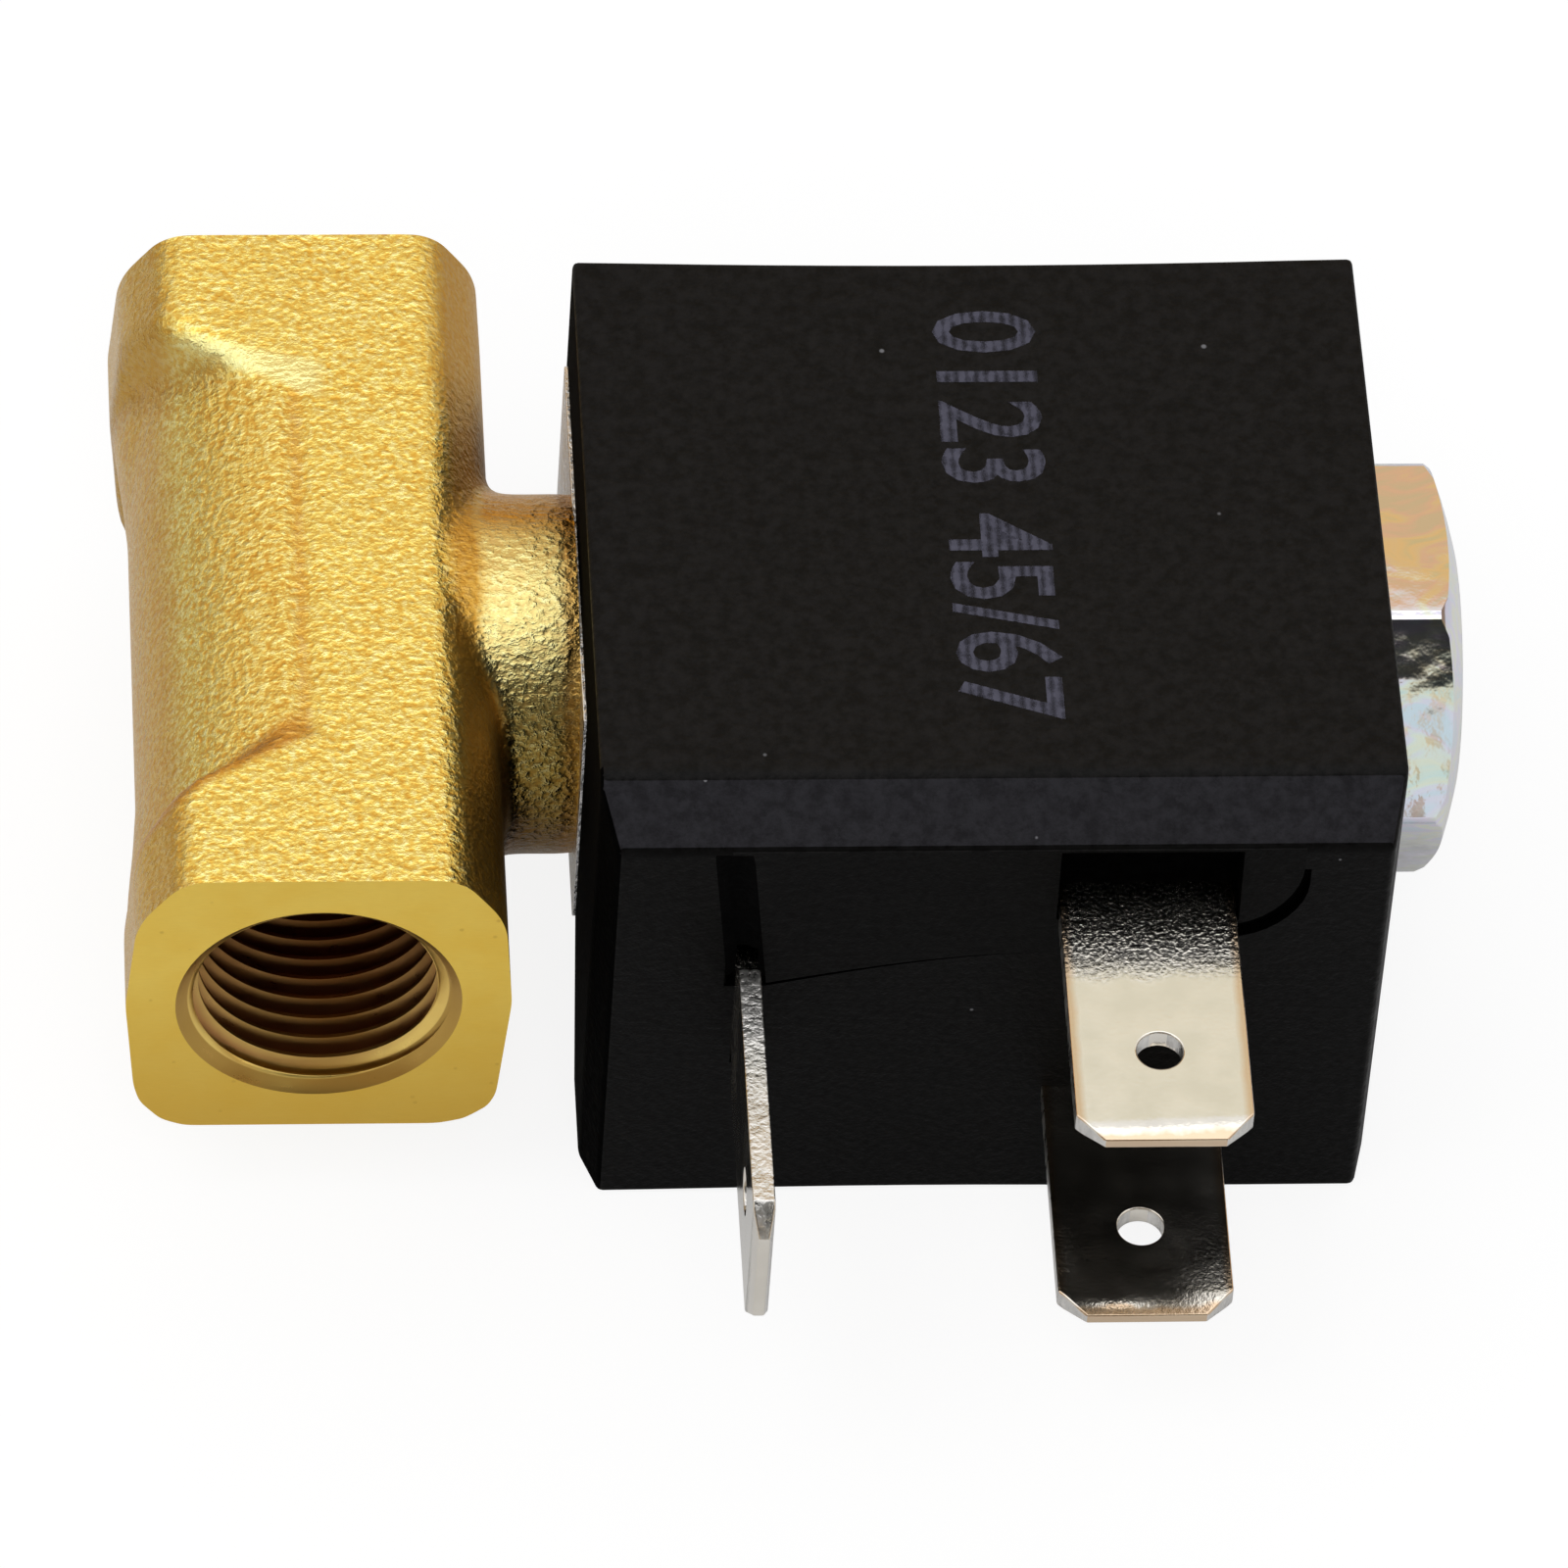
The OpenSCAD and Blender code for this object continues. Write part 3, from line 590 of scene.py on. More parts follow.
machinedBrassLook = {
    "dull": colour(0.96, 0.65, 0.1),
    "clean": colour(1.0, 0.74, 0.15),
    "mark": colour(0.6, 0.36, 0.06),
    # low: painted shade, the face darker towards the bottom
    "low": colour(0.66, 0.4, 0.06),
    "lowShadeShare": 0.65,
    "lowShadeFrom": (2.0, -7.0),
    "rough": (0.38, 0.46),
    "patchSize": 2.4,
    "markSize": 0.5,
    "speckSize": 0.9,
    "depth": 0.012,
}


def machinedBrass():
    look = machinedBrassLook
    recipe = newRecipe("machinedBrass")
    place = placeOn(recipe)
    slow = clouds(place, look["patchSize"], 3, 0.6)
    fine = clouds(placeOn(recipe, (1, 1, 6), (0, 0.5, 0)), look["markSize"], 3, 0.6)
    speck = between(cells(place, look["speckSize"]), 0.12, 0.06)
    toned = tint(between(slow, 0.3, 0.7), look["dull"], look["clean"])
    toned = tint(fine * 0.2 + speck * 0.4, toned, look["mark"])
    # Painted shade: darker towards the bottom of the face
    toned = tint(ramp(axisOf(place, "Z"), look["lowShadeFrom"]) * look["lowShadeShare"], toned, look["low"])
    rough = between(slow, 0.3, 0.7, *look["rough"])
    return recipe.metal(toned, rough, fine + slow * 0.5, look["depth"])


# Painted shade: the thread darker than the machined face, browner in its grooves and on the lead-in's
# outer band, darkest deep inside
threadBrassLook = {
    "crest": colour(0.66, 0.43, 0.13),
    "groove": colour(0.42, 0.2, 0.07),
    "grooveShadeShare": 0.95,
    "deepShade": colour(0.3, 0.14, 0.05),
    "deepShadeShare": 0.93,
    "outerBand": colour(0.52, 0.32, 0.08),
    "leadIn": colour(0.97, 0.7, 0.2),
    "leadInShare": 0.9,
    "rough": (0.26, 0.4),
    "smearSize": 1.2,
    "depth": 0.004,
    # Radii and depths below the port's face at which a tint begins and is full
    "grooveRadius": (4.33, 4.6),
    "bandRadius": (4.66, 4.7),
    "threadFrom": (0.75, 0.95),
    "leadInTo": (0.95, 0.8),
    "darkFrom": (1.0, 5.0),
}


# The bore of a port: bright machined colour at its mouth, painted shade browning the thread's grooves
# and the lead-in's outer band and darkening the inside
def threadBrass():
    look = threadBrassLook
    recipe = newRecipe("threadBrass")
    place = placeOn(recipe)
    smears = clouds(placeOn(recipe, (1, 5, 1)), look["smearSize"], 3, 0.6)
    across = axisOf(place, "X")
    high = axisOf(place, "Z")
    depth = (axisY - bodyLow.y) * mm - farOff(axisOf(place, "Y") - axisY * mm)
    radius = (across * across + high * high) ** 0.5
    groove = ramp(radius, look["grooveRadius"]) * ramp(depth, look["threadFrom"])
    band = ramp(radius, look["bandRadius"])
    inwardShade = ramp(depth, look["darkFrom"]) ** 0.6
    mouth = ramp(depth, look["leadInTo"])
    # Painted shade: darker with depth, browner in the grooves and on the lead-in's outer band
    toned = tint(inwardShade * look["deepShadeShare"], look["crest"], look["deepShade"])
    toned = tint(groove * look["grooveShadeShare"], toned, look["groove"])
    toned = tint(mouth * (1 - groove) * look["leadInShare"], toned, look["leadIn"])
    toned = tint(band * (1 - groove), toned, look["outerBand"])
    return recipe.metal(toned, between(smears, 0.3, 0.7, *look["rough"]), smears, look["depth"])


mouldingLook = {
    "mottleSize": 0.55,
    "textureSize": 0.28,
    "depth": 0.035,
    "dust": colour(0.3, 0.3, 0.32),
}


# Black moulded plastic between two tones, with specks of dust
def mouldedBlack(name, dark, light, dustSize=0.9, dustShare=0.06, gloss=0.1, rough=(0.42, 0.64)):
    look = mouldingLook
    recipe = newRecipe(name)
    place = placeOn(recipe)
    mottle = clouds(place, look["mottleSize"], 4, 0.75)
    texture = clouds(place, look["textureSize"], 3, 0.6)
    chance = recipe.node("ShaderNodeSeparateColor", {}, {0: cells(place, dustSize, "Color")})
    dusty = between(chance, 1 - dustShare, 1.01 - dustShare)
    speck = between(cells(place, dustSize), 0.09, 0.05) * dusty
    toned = tint(between(mottle, 0.38, 0.62), dark, light)
    return recipe.surface({
        "Base Color": tint(speck * 0.6, toned, look["dust"]),
        "Roughness": between(mottle + texture, 0.8, 1.2, *rough),
        "Specular IOR Level": gloss,
        "Normal": bumpOf(texture + mottle, look["depth"]),
    })


# Metal with slow patches, fine texture and, where stretched, drawn or turned marks
def plainMetal(name, dark, light, rough, size=1.2, depth=0.006, stretch=(1, 1, 1)):
    recipe = newRecipe(name)
    marks = clouds(placeOn(recipe, stretch), size * 0.25, 3, 0.6)
    patches = clouds(placeOn(recipe), size, 3, 0.55)
    toned = tint(between(patches * 0.6 + marks * 0.4, 0.35, 0.65), dark, light)
    edge = between(recipe.node("ShaderNodeNewGeometry", output="Pointiness"), 0.51, 0.56)
    return recipe.metal(tint(edge * 0.3, toned, light), between(patches + marks, 0.7, 1.3, *rough),
                        marks + patches, depth)


# Plastic, rubber and tape: slow patches of two tones and a fine texture
def plainPlastic(name, dark, light, rough, size=1.2, depth=0.01):
    recipe = newRecipe(name)
    place = placeOn(recipe)
    texture = clouds(place, size * 0.2, 3, 0.6)
    patches = clouds(place, size, 3, 0.55)
    return recipe.surface({
        "Base Color": tint(between(patches * 0.5 + texture * 0.5, 0.35, 0.65), dark, light),
        "Roughness": between(patches + texture, 0.7, 1.3, *rough),
        "Normal": bumpOf(texture, depth),
    })


tinLook = {
    "dull": colour(0.76, 0.72, 0.65),
    "clean": colour(0.82, 0.78, 0.71),
    "patchSize": 1.4,
    "grainSize": 0.16,
    "depth": 0.05,
    "rough": (0.09, 0.15),
    # pit: painted shade, the dark specks near the root
    "pit": grey(0.05),
    "rootShadeShare": 0.85,
    "pitRough": 0.12,
    "rootFrom": (-4.2, -2.6),  # along a tab, from clean tin to the root darkened by painted shade
    "lowerTab": (-3.0, -4.0),  # heights between which the lower tab's finish takes over
    "lowerShare": 0.9,
    "lowerRough": 0.03,
    "rim": colour(0.62, 0.38, 0.17),
    "rimShare": 0.6,
    "rimWide": (0.4, 0.15),
    "tipWide": (0.45, 0.25),
}


# Tinned sheet, rougher and more textured where it leaves the plastic, with dark specks of painted shade
# there
def tinnedSheet():
    look = tinLook
    recipe = newRecipe("tinPlate")
    place = placeOn(recipe)
    patches = clouds(place, look["patchSize"], 3, 0.55)
    grain = clouds(place, look["grainSize"], 2, 0.6)
    along = axisOf(place, "Y") + (patches - 0.5) * mm
    below = ramp(axisOf(place, "Z"), look["lowerTab"])
    root = ramp(along, look["rootFrom"]) * (1 - below * look["lowerShare"])
    rootShade = root * between(grain, 0.56, 0.44, 0, look["rootShadeShare"])
    # Tan rims of the line tabs
    low, high = cornersOf("line_terminal_upper")
    half = (high.x - low.x) / 2
    aside = farOff(axisOf(place, "X") - (low.x + half) * mm) + (patches - 0.5) * 0.3 * mm
    rim = ramp(aside, [half - wide for wide in look["rimWide"]])
    tip = ramp(along, [low.y + wide for wide in look["tipWide"]])
    onLine = ramp(aside, (half + 0.8, half + 0.6))
    toned = tint(between(patches, 0.35, 0.65), look["dull"], look["clean"])
    toned = tint((rim + tip) * onLine * look["rimShare"], toned, look["rim"])
    rough = between(patches, 0.35, 0.65, *look["rough"]) + root * look["pitRough"]
    rough = rough + below * look["lowerRough"]
    height = grain * (root * 0.9 + below * 0.1 + 0.1) + patches * 0.12
    return recipe.metal(tint(rootShade, toned, look["pit"]), rough, height, look["depth"])


def finishWith(piece, *materials):
    piece.data.materials.clear()
    for material in materials:
        piece.data.materials.append(material)


# Gives a piece's faces that pass the test one of its own materials
def paintFaces(piece, material, test):
    number = piece.data.materials.find(material)
    for face in piece.data.polygons:
        if test(face.center / mm, face.normal):
            face.material_index = number


nutFilm = {
    "film": [  # the play of colours, from one end to the other
        (0.34, colour(0.72, 0.8, 0.9)), (0.44, colour(0.82, 0.77, 0.9)),
        (0.5, colour(0.82, 0.85, 0.82)), (0.56, colour(0.86, 0.85, 0.72)),
        (0.66, colour(0.72, 0.84, 0.82))],
    "filmSize": 1.6,
    "filmTwist": 1.5,
    "crown": 0.1,  # how far the middle of a flat stands over its edges
    "waveSize": 3.0,
    "rippleSize": 0.9,
    "lowerDarkening": grey(0.4),
    "lowerDarkeningFrom": (0, -2.5),
    "rough": (0.05, 0.1),
}


# Bright zinc with a faint play of colours in it, darker towards the bottom, its flats slightly crowned
def rainbowZinc():
    look = nutFilm
    recipe = newRecipe("nutPlate")
    place = placeOn(recipe)
    film = clouds(placeOn(recipe, (0.5, 1, 1)), look["filmSize"], twist=look["filmTwist"])
    waves = clouds(place, look["waveSize"])
    ripples = clouds(place, look["rippleSize"], 3, 0.6)
    toned = recipe.node("ShaderNodeValToRGB", {"stops": look["film"]}, {0: film})
    aside = axisOf(place, "Y") - axisY * mm
    high = axisOf(place, "Z")
    angle = high.maths("ARCTAN2", high, aside)
    turned = math.radians(nutLook["turn"])
    onFlat = recipe.node("ShaderNodeMath", {"operation": "WRAP"}, {
        0: angle, 1: turned + math.pi / 6, 2: turned - math.pi / 6}) - turned
    halfFlat = nutLook["flats"] / 2 * math.tan(math.pi / 6) * mm
    offMiddle = recipe.node("ShaderNodeMath", {"operation": "SINE"}, {0: onFlat}) * (
        aside * aside + high * high) ** 0.5 / halfFlat
    # Darker towards the bottom
    lowerDarkening = ramp(high, look["lowerDarkeningFrom"]) * between(ripples, 0.35, 0.65, 0.3, 0.7)
    height = waves + ripples * 0.12 - offMiddle * offMiddle
    return recipe.metal(tint(lowerDarkening, toned, look["lowerDarkening"]),
                        between(ripples, 0.3, 0.7, *look["rough"]), height, look["crown"])


print("materials")
# One black plastic in lit and shaded copies: the chamfer's lighter, painted light; the front's, the
# slots', the crevice's and the left side's darker, painted shade
blackPlastics = {  # of the coil's faces, in the order of its material slots
    "mouldedBlack": {"dark": grey(0.001), "light": colour(0.0085, 0.0078, 0.0078), "dustSize": 1.3},
    "chamferLitPlastic": {"dark": colour(0.0125, 0.012, 0.0145), "light": colour(0.023, 0.0225, 0.027),
                       "dustShare": 0.2},
    "frontShadedPlastic": {"dark": grey(0.0003), "light": grey(0.0026), "dustShare": 0.05, "gloss": 0.08},
    "slotShadedPlastic": {"dark": grey(0.0002), "light": grey(0.0012), "dustShare": 0.02, "gloss": 0.02,
                    "rough": (0.8, 1.0)},
    "sideShadedPlastic": {"dark": grey(0.0005), "light": grey(0.003), "dustSize": 1.3, "gloss": 0.02,
                    "rough": (0.85, 1.0)},
    "leanSlotShadedPlastic": {"dark": grey(0.0004), "light": grey(0.002), "dustShare": 0.02, "gloss": 0.03,
                    "rough": (0.7, 0.9)},
}
sheetMetals = {
    "shearedTin": {"dark": colour(0.5, 0.49, 0.47), "light": colour(0.85, 0.83, 0.8),
                   "rough": (0.2, 0.4), "depth": 0.06, "stretch": (1, 1, 0.2)},
    "zincSheet": {"dark": colour(0.6, 0.6, 0.61), "light": colour(0.86, 0.86, 0.87),
                  "rough": (0.2, 0.36), "size": 1.0, "depth": 0.04},
}
coilFinish = [mouldedBlack(name, **look) for name, look in blackPlastics.items()]
shearedTin, zincSheet = [plainMetal(name, **look) for name, look in sheetMetals.items()]
tinPlate = tinnedSheet()

print("brass body")
brassBody = {
    "draft": 0.9236,  # width at the top and bottom over the width at the parting line
    "corners": {  # width and height of each corner cut, and how many flats round it off
        (-1, 1): (1.65, 2.35, 1), (1, 1): (1.65, 2.35, 1),
        (-1, -1): (2.3, 3.0, 3), (1, -1): (2.5, 2.1, 3),
    },
    "flatAngles": (18, 72),  # of the first and the last of those flats
    "waistRadius": 7.0,
    "waistX": 0.65,
    "shoulderInner": 7.96,
    "shoulderOuter": 2.83,
    "flare": [(7.55, 0), (7.55, 2), (7.35, 5), (7.15, 7), (7.0, 9.1), (6.6, 12)],
    "flareHigh": 0.8,  # its height over its width
    "neck": [(6.55, 0), (6.55, 9.2), (6.5, 9.7), (6.5, 11.5)],
    "voxel": 0.2,
    "cornerRound": 0.8,
    "roundSteps": 5,
    "grooveRadius": 0.7,
    "grooveRise": 0.48,  # how far the groove's middle lies outside the surface
    "lipReach": 0.9,
    "lipWide": 1.63,  # how far the lip reaches back at X 0
    "lipSmoothing": 60,
    "grooveEnd": 7.0,
    "rootRadius": 6.9,
    "rootX": 6.8,
    "rootWide": 1.8,
    "rootLong": 2.0,
    "smoothing": 12,
    "rootSmoothing": 45,
    "portMinor": 4.283,
    "portMajor": 4.864,
    "portPitch": 0.907,
    "portDepth": 8.5,
    "drillTip": 1.6,
    "crestHalf": 0.075,
    "threadTurns": 9,
    "leadIn": [(5.12, -1), (5.12, 0), (4.7, 0.34), (4.62, 0.38), (4.3, 0.86)],
    "seatLip": 1.7,
    "seatBase": 2.4,
    "seatHigh": 1.6,
    "chamberRadius": 4.8,
    "ferruleRadius": 5.8,
    "orifice": 1.0,
    "passage": 1.3,
    "outletX": -0.2,  # the passages' places across the bar
    "inletX": 2.9,
    "passageFrom": 7.5,
    "inletEnd": 2.7,
}


# Takes off one long corner of the bar, with flats laid round an ellipse or one straight across
def cutCorner(piece, side, top, wide, high, flats, halfWidth, halfHeight):
    if flats == 1:
        point = (side * halfWidth, 0, top * (halfHeight - high))
        planeCut(piece, point, (side * high, 0, top * wide))
        return
    first, last = brassBody["flatAngles"]
    for number in range(flats):
        angle = math.radians(first + (last - first) * number / (flats - 1))
        across = halfWidth - wide + wide * math.cos(angle)
        up = halfHeight - high + high * math.sin(angle)
        normal = (side * math.cos(angle) / wide, 0, top * math.sin(angle) / high)
        planeCut(piece, (side * across, 0, top * up), normal)


def forgedBlank():
    look = brassBody
    half = bodyHigh.z
    wide = -bodyLow.x
    blank = addBlock("brassBody", (-wide, bodyLow.y - 1, -half), (wide, bodyHigh.y + 1, half))
    planeCut(blank, (0, 0, 0), (0, 0, 1), clear=False)
    scaleCorners(blank, lambda middle, way: abs(middle.z) > 1, (look["draft"], 1, 1))
    for (side, top), (cutWide, cutHigh, flats) in look["corners"].items():
        atCut = wide * (1 - (1 - look["draft"]) * (half - cutHigh) / half)
        cutCorner(blank, side, top, cutWide, cutHigh, flats, atCut, half)
    bevelEdges(blank, lambda middle, way: abs(way.y) > 0.99 and middle.z > 1,
               look["cornerRound"], look["roundSteps"])
    # Recess between the port blocks, down to the round waist
    inner, outer = look["shoulderInner"], look["shoulderOuter"]
    recess = addBlock("recess", (-wide - 1, bodyLow.y + outer, -half - 2),
                      (look["waistX"], bodyHigh.y - outer, half + 2))
    ratio = (axisY - bodyLow.y - inner) / (axisY - bodyLow.y - outer)
    scaleCorners(recess, lambda middle, way: middle.x > 0, (1, ratio, 1), (0, axisY, 0))
    waist = [(look["waistRadius"], bodyLow.y - 2), (look["waistRadius"], bodyHigh.y + 2)]
    cut(recess, turn("waist", waist, "Y", (look["waistX"], 0), 160))
    cut(blank, recess)
    # Shallow groove along the waist's ridge
    for top in (1, -1):
        groove = [(look["grooveRadius"], bodyLow.y + look["grooveEnd"]),
                  (look["grooveRadius"], bodyHigh.y - look["grooveEnd"])]
        spot = (blastedBrassLook["ridgeX"], top * (half + look["grooveRise"]))
        cut(blank, turn("groove", groove, "Y", spot, 24))
    # Flare at the parting line, towards each port
    for end in (1, -1):
        mouth = bodyLow.y if end > 0 else bodyHigh.y
        outline = [(radius, mouth + end * place) for radius, place in look["flare"]]
        flare = turn("flare", outline, "Y", (look["waistX"], 0))
        flare.scale.z = look["flareHigh"]
        settle(flare)
        planeCut(flare, (0, 0, 0), (1, 0, 0))
        join(blank, flare)
    join(blank, turn("neck", look["neck"]))
    applyModifier(blank, "REMESH", {
        "mode": "VOXEL", "voxel_size": look["voxel"] * mm, "use_smooth_shade": True})
    applyModifier(blank, "SMOOTH", {"factor": 0.5, "iterations": look["smoothing"]})

    # Fillet where the neck grows out of the body
    def atRoot(spot):
        reach = math.hypot(spot.y - axisY, spot.z)
        near = 1 - abs(reach - look["rootRadius"]) / look["rootWide"]
        high = 1 - abs(spot.x - look["rootX"]) / look["rootLong"]
        return shareOf(3 * min(near, high), 0, 1)

    # Softer lip at the back end of the waist
    def atLip(spot):
        lean = (inner - outer) / (look["waistX"] + wide + 1)
        wall = bodyHigh.y - inner + lean * (look["waistX"] - spot.x)
        middle = max(look["lipWide"] + blastedBrassLook["lipLean"] * spot.x, 0) / 2
        near = 1 - abs(spot.y - wall - middle) / (look["lipReach"] + middle)
        if near > 0 and spot.z > 3 and spot.x < 0:
            return min(2 * near, 1) * min(-spot.x, 1)
        return 0

    for name, share, times in (("root", atRoot, "rootSmoothing"), ("lip", atLip, "lipSmoothing")):
        group = blank.vertex_groups.new(name=name)
        for vertex in blank.data.vertices:
            weight = share(vertex.co / mm)
            if weight > 0:
                group.add([vertex.index], weight, "REPLACE")
        applyModifier(blank, "SMOOTH", {
            "factor": 0.5, "iterations": look[times], "vertex_group": name})
    # Machined flat at both ports and at the neck's end
    planeCut(blank, (0, bodyLow.y, 0), (0, -1, 0))
    planeCut(blank, (0, bodyHigh.y, 0), (0, 1, 0))
    planeCut(blank, (bodyHigh.x, 0, 0), (1, 0, 0))
    return blank


# Tool that leaves a threaded port with its lead-in, running in from the inlet's face
def portTool():
    look = brassBody
    depth = look["portDepth"]
    bore = [(look["portMinor"], -1.5), (look["portMinor"], depth), (0.3, depth + look["drillTip"])]
    tool = turn("portTool", [(r, bodyLow.y + d) for r, d in bore], "Y", (0, 0))
    crest = look["crestHalf"]
    thread = windThread(
        "portThread", look["portMinor"] - 0.08, look["portMajor"],
        look["portPitch"] / 2 - crest + 0.04, crest, look["portPitch"], look["threadTurns"])
    thread.rotation_euler = (-math.pi / 2, 0, 0)
    thread.location = Vector((0, bodyLow.y - 0.5, 0)) * mm
    join(tool, settle(thread))
    leadIn = [(r, bodyLow.y + d) for r, d in look["leadIn"]]
    return join(tool, turn("leadIn", leadIn, "Y", (0, 0)))


def buildBrassBody():
    look = brassBody
    body = forgedBlank()
    inlet = portTool()
    outlet = turnRound(copyOf(inlet, "outletTool"), 180, "Z", (0, axisY, 0))
    seat = cornersOf("plunger_seal")[0].x - 0.02
    ledge = cornersOf("tube_o_ring")[0].x
    floor = seat - look["seatHigh"]
    chamber = turn("chamber", [
        (look["seatLip"], seat), (look["seatBase"], floor), (look["chamberRadius"], floor),
        (look["chamberRadius"], ledge), (look["ferruleRadius"], ledge),
        (look["ferruleRadius"], bodyHigh.x + 1)])
    orifice = turn("orifice", [(look["orifice"], -1.2), (look["orifice"], seat + 1)])
    radius = look["passage"]
    start, end = bodyLow.y + look["passageFrom"], bodyHigh.y - look["passageFrom"]
    outWay = turn("outWay", [(radius, axisY - 1), (radius, end)], "Y", (look["outletX"], 0))
    inWay = turn("inWay", [(radius, start), (radius, axisY - look["inletEnd"])], "Y",
                 (look["inletX"], 0))
    cut(body, join(inlet, inWay, chamber, orifice, outWay, outlet))
    finishWith(body, blastedBrass(), machinedBrass(), threadBrass())

    def onFace(middle, way):
        ends = min(abs(middle.y - bodyLow.y), abs(middle.y - bodyHigh.y))
        return abs(way.y) > 0.99 and ends < 0.01

    def inPort(middle, way):
        depth = min(middle.y - bodyLow.y, bodyHigh.y - middle.y)
        return 0.005 < depth < look["portDepth"] + 2 and (
            math.hypot(middle.x, middle.z) < look["leadIn"][0][0] + 0.005)

    def inChamber(middle, way):
        reach = math.hypot(middle.y - axisY, middle.z)
        return middle.x > bodyHigh.x - 0.01 or (
            reach < look["ferruleRadius"] + 0.01 and middle.x > -1.3)

    paintFaces(body, "machinedBrass", inChamber)
    paintFaces(body, "threadBrass", inPort)
    paintFaces(body, "machinedBrass", onFace)
    smoothShade(body, 32)
    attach(body, "valve")
    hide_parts("valve_body")


buildBrassBody()

print("coil housing")
coilShell = {
    "padProud": 0.35,
    "topChamfer": 2.0,
    "leftCut": 0.75,
    "rightCut": 0.5,
    "plateStep": 0.12,  # how far the bracket's plate stands proud of the plastic
    "corner": 0.22,
    "draft": 0.2,  # how much the right end leans in towards the back
    "loopStep": 2.4,
    "sinkHalf": (13.5, 12),  # half length and width of the sinks
    "sinkTop": 0.14,
    "sinkBack": 0.22,
    "sinkFromY": (6, 12),  # distances from the middle where sinks and waves begin and are full
    "sinkFromZ": (6, 10),
    "wave": 0.15,
    "waveLength": 38.4,
    "reliefDepth": 0.9,
    "reliefFrom": 7,
    "reliefLean": 4.6,
    "slotDepth": 1.2,
    "padLow": 1.8,
    "padHigh": 3.4,
    "padRound": 2.3,
    "padReach": 2.3,
    "padSteps": 10,
    "creviceDepth": 0.45,
    "creviceRight": (0.25, -1.1),  # how far the gap shows beyond the pad's round corner, X and Z
    "creviceLeft": (0.6, 0.42),  # how far it shows below the pad at its left end and at the tabs
    "leanDepth": 0.3,
    "leanHalf": (0.15, 0.72),  # half width of the slanting slot at its floor and at its mouth
    "leanShift": 0.35,
}


def coilBlank(front):
    look = coilShell
    low = Vector((coilLow.x + look["plateStep"], front, coilLow.z))
    shell = addBlock("coilShell", low, coilHigh)
    chamfer = look["topChamfer"]
    planeCut(shell, (0, front, coilHigh.z - chamfer), (0, -1, 1))
    planeCut(shell, (coilLow.x, front + chamfer, 0), (-chamfer, -look["leftCut"], 0))
    planeCut(shell, (coilHigh.x, front + chamfer, 0), (chamfer, -look["rightCut"], 0))
    bevelEdges(shell, everywhere, look["corner"], 3)
    # Loops across every face, so that the sinks and waves of the moulding can follow
    for axis in range(3):
        length = coilHigh[axis] - low[axis]
        count = round(length / look["loopStep"])
        for number in range(1, count):
            point, normal = Vector(low), Vector((0, 0, 0))
            point[axis] += length * number / count
            normal[axis] = 1
            planeCut(shell, point, normal, clear=False)
    middleX = (coilLow.x + coilHigh.x) / 2
    middleY = (front + coilHigh.y) / 2
    halfLong, halfWide = look["sinkHalf"]
    for vertex in shell.data.vertices:
        spot = vertex.co / mm
        along = max(0, 1 - ((spot.x - middleX) / halfLong) ** 2)
        across = max(0, 1 - ((spot.y - middleY) / halfWide) ** 2)
        upper = shareOf(spot.z, *look["sinkFromZ"])
        lower = shareOf(-spot.z, *look["sinkFromZ"])
        back = shareOf(spot.y - middleY, *look["sinkFromY"])
        ahead = shareOf(middleY - spot.y, *look["sinkFromY"])
        spot.z -= look["sinkTop"] * along * across * upper
        spot.y -= look["sinkBack"] * along * back * upper
        wave = math.sin((spot.x - coilLow.x) / look["waveLength"] * math.tau)
        spot.z += look["wave"] * max(0, 0.4 + wave * 0.6) * along * lower * ahead
        rear = shareOf(spot.y, front, coilHigh.y)
        if spot.x > middleX:
            spot.x -= look["draft"] * rear * (spot.x - middleX) / (coilHigh.x - middleX)
        vertex.co = spot * mm
    return shell


def terminalPad(front, lineLow, lineHigh, tabLeft):
    look = coilShell
    left = tabLeft - 0.4
    right = lineHigh.x + look["padReach"]
    top = coilHigh.z - look["topChamfer"]
    low = lineHigh.z + 0.05
    pad = addBlock("pad", (left, front - look["padProud"], look["padLow"]), (right, front + 0.6, top))
    # The front leans back until it is flush at the top
    moveCorners(pad, lambda middle, way: middle.z > top - 0.1 and middle.y < front,
                (0, look["padProud"], 0))
    start, end = left + 1.5, lineLow.x
    count = look["padSteps"]
    for number in range(count + 1):
        planeCut(pad, (start + (end - start) * number / count, 0, 0), (1, 0, 0), clear=False)
    for vertex in pad.data.vertices:
        spot = vertex.co / mm
        if spot.z < look["padLow"] + 0.1:
            rise = math.sin(shareOf(spot.x, start, end) * math.pi / 2)
            spot.z = look["padLow"] + (look["padHigh"] - look["padLow"]) * rise
            if spot.x > end + 0.01:
                spot.z = low
        vertex.co = spot * mm
    bevelEdges(pad, lambda middle, way: (
        abs(way.y) > 0.9 and middle.x > right - 0.1 and middle.z < low + 0.1), look["padRound"], 8)
    return pad


def cutRooms(shell, rooms):
    for name, spans in rooms.items():
        cut(shell, addBlock(name, *zip(*spans)))


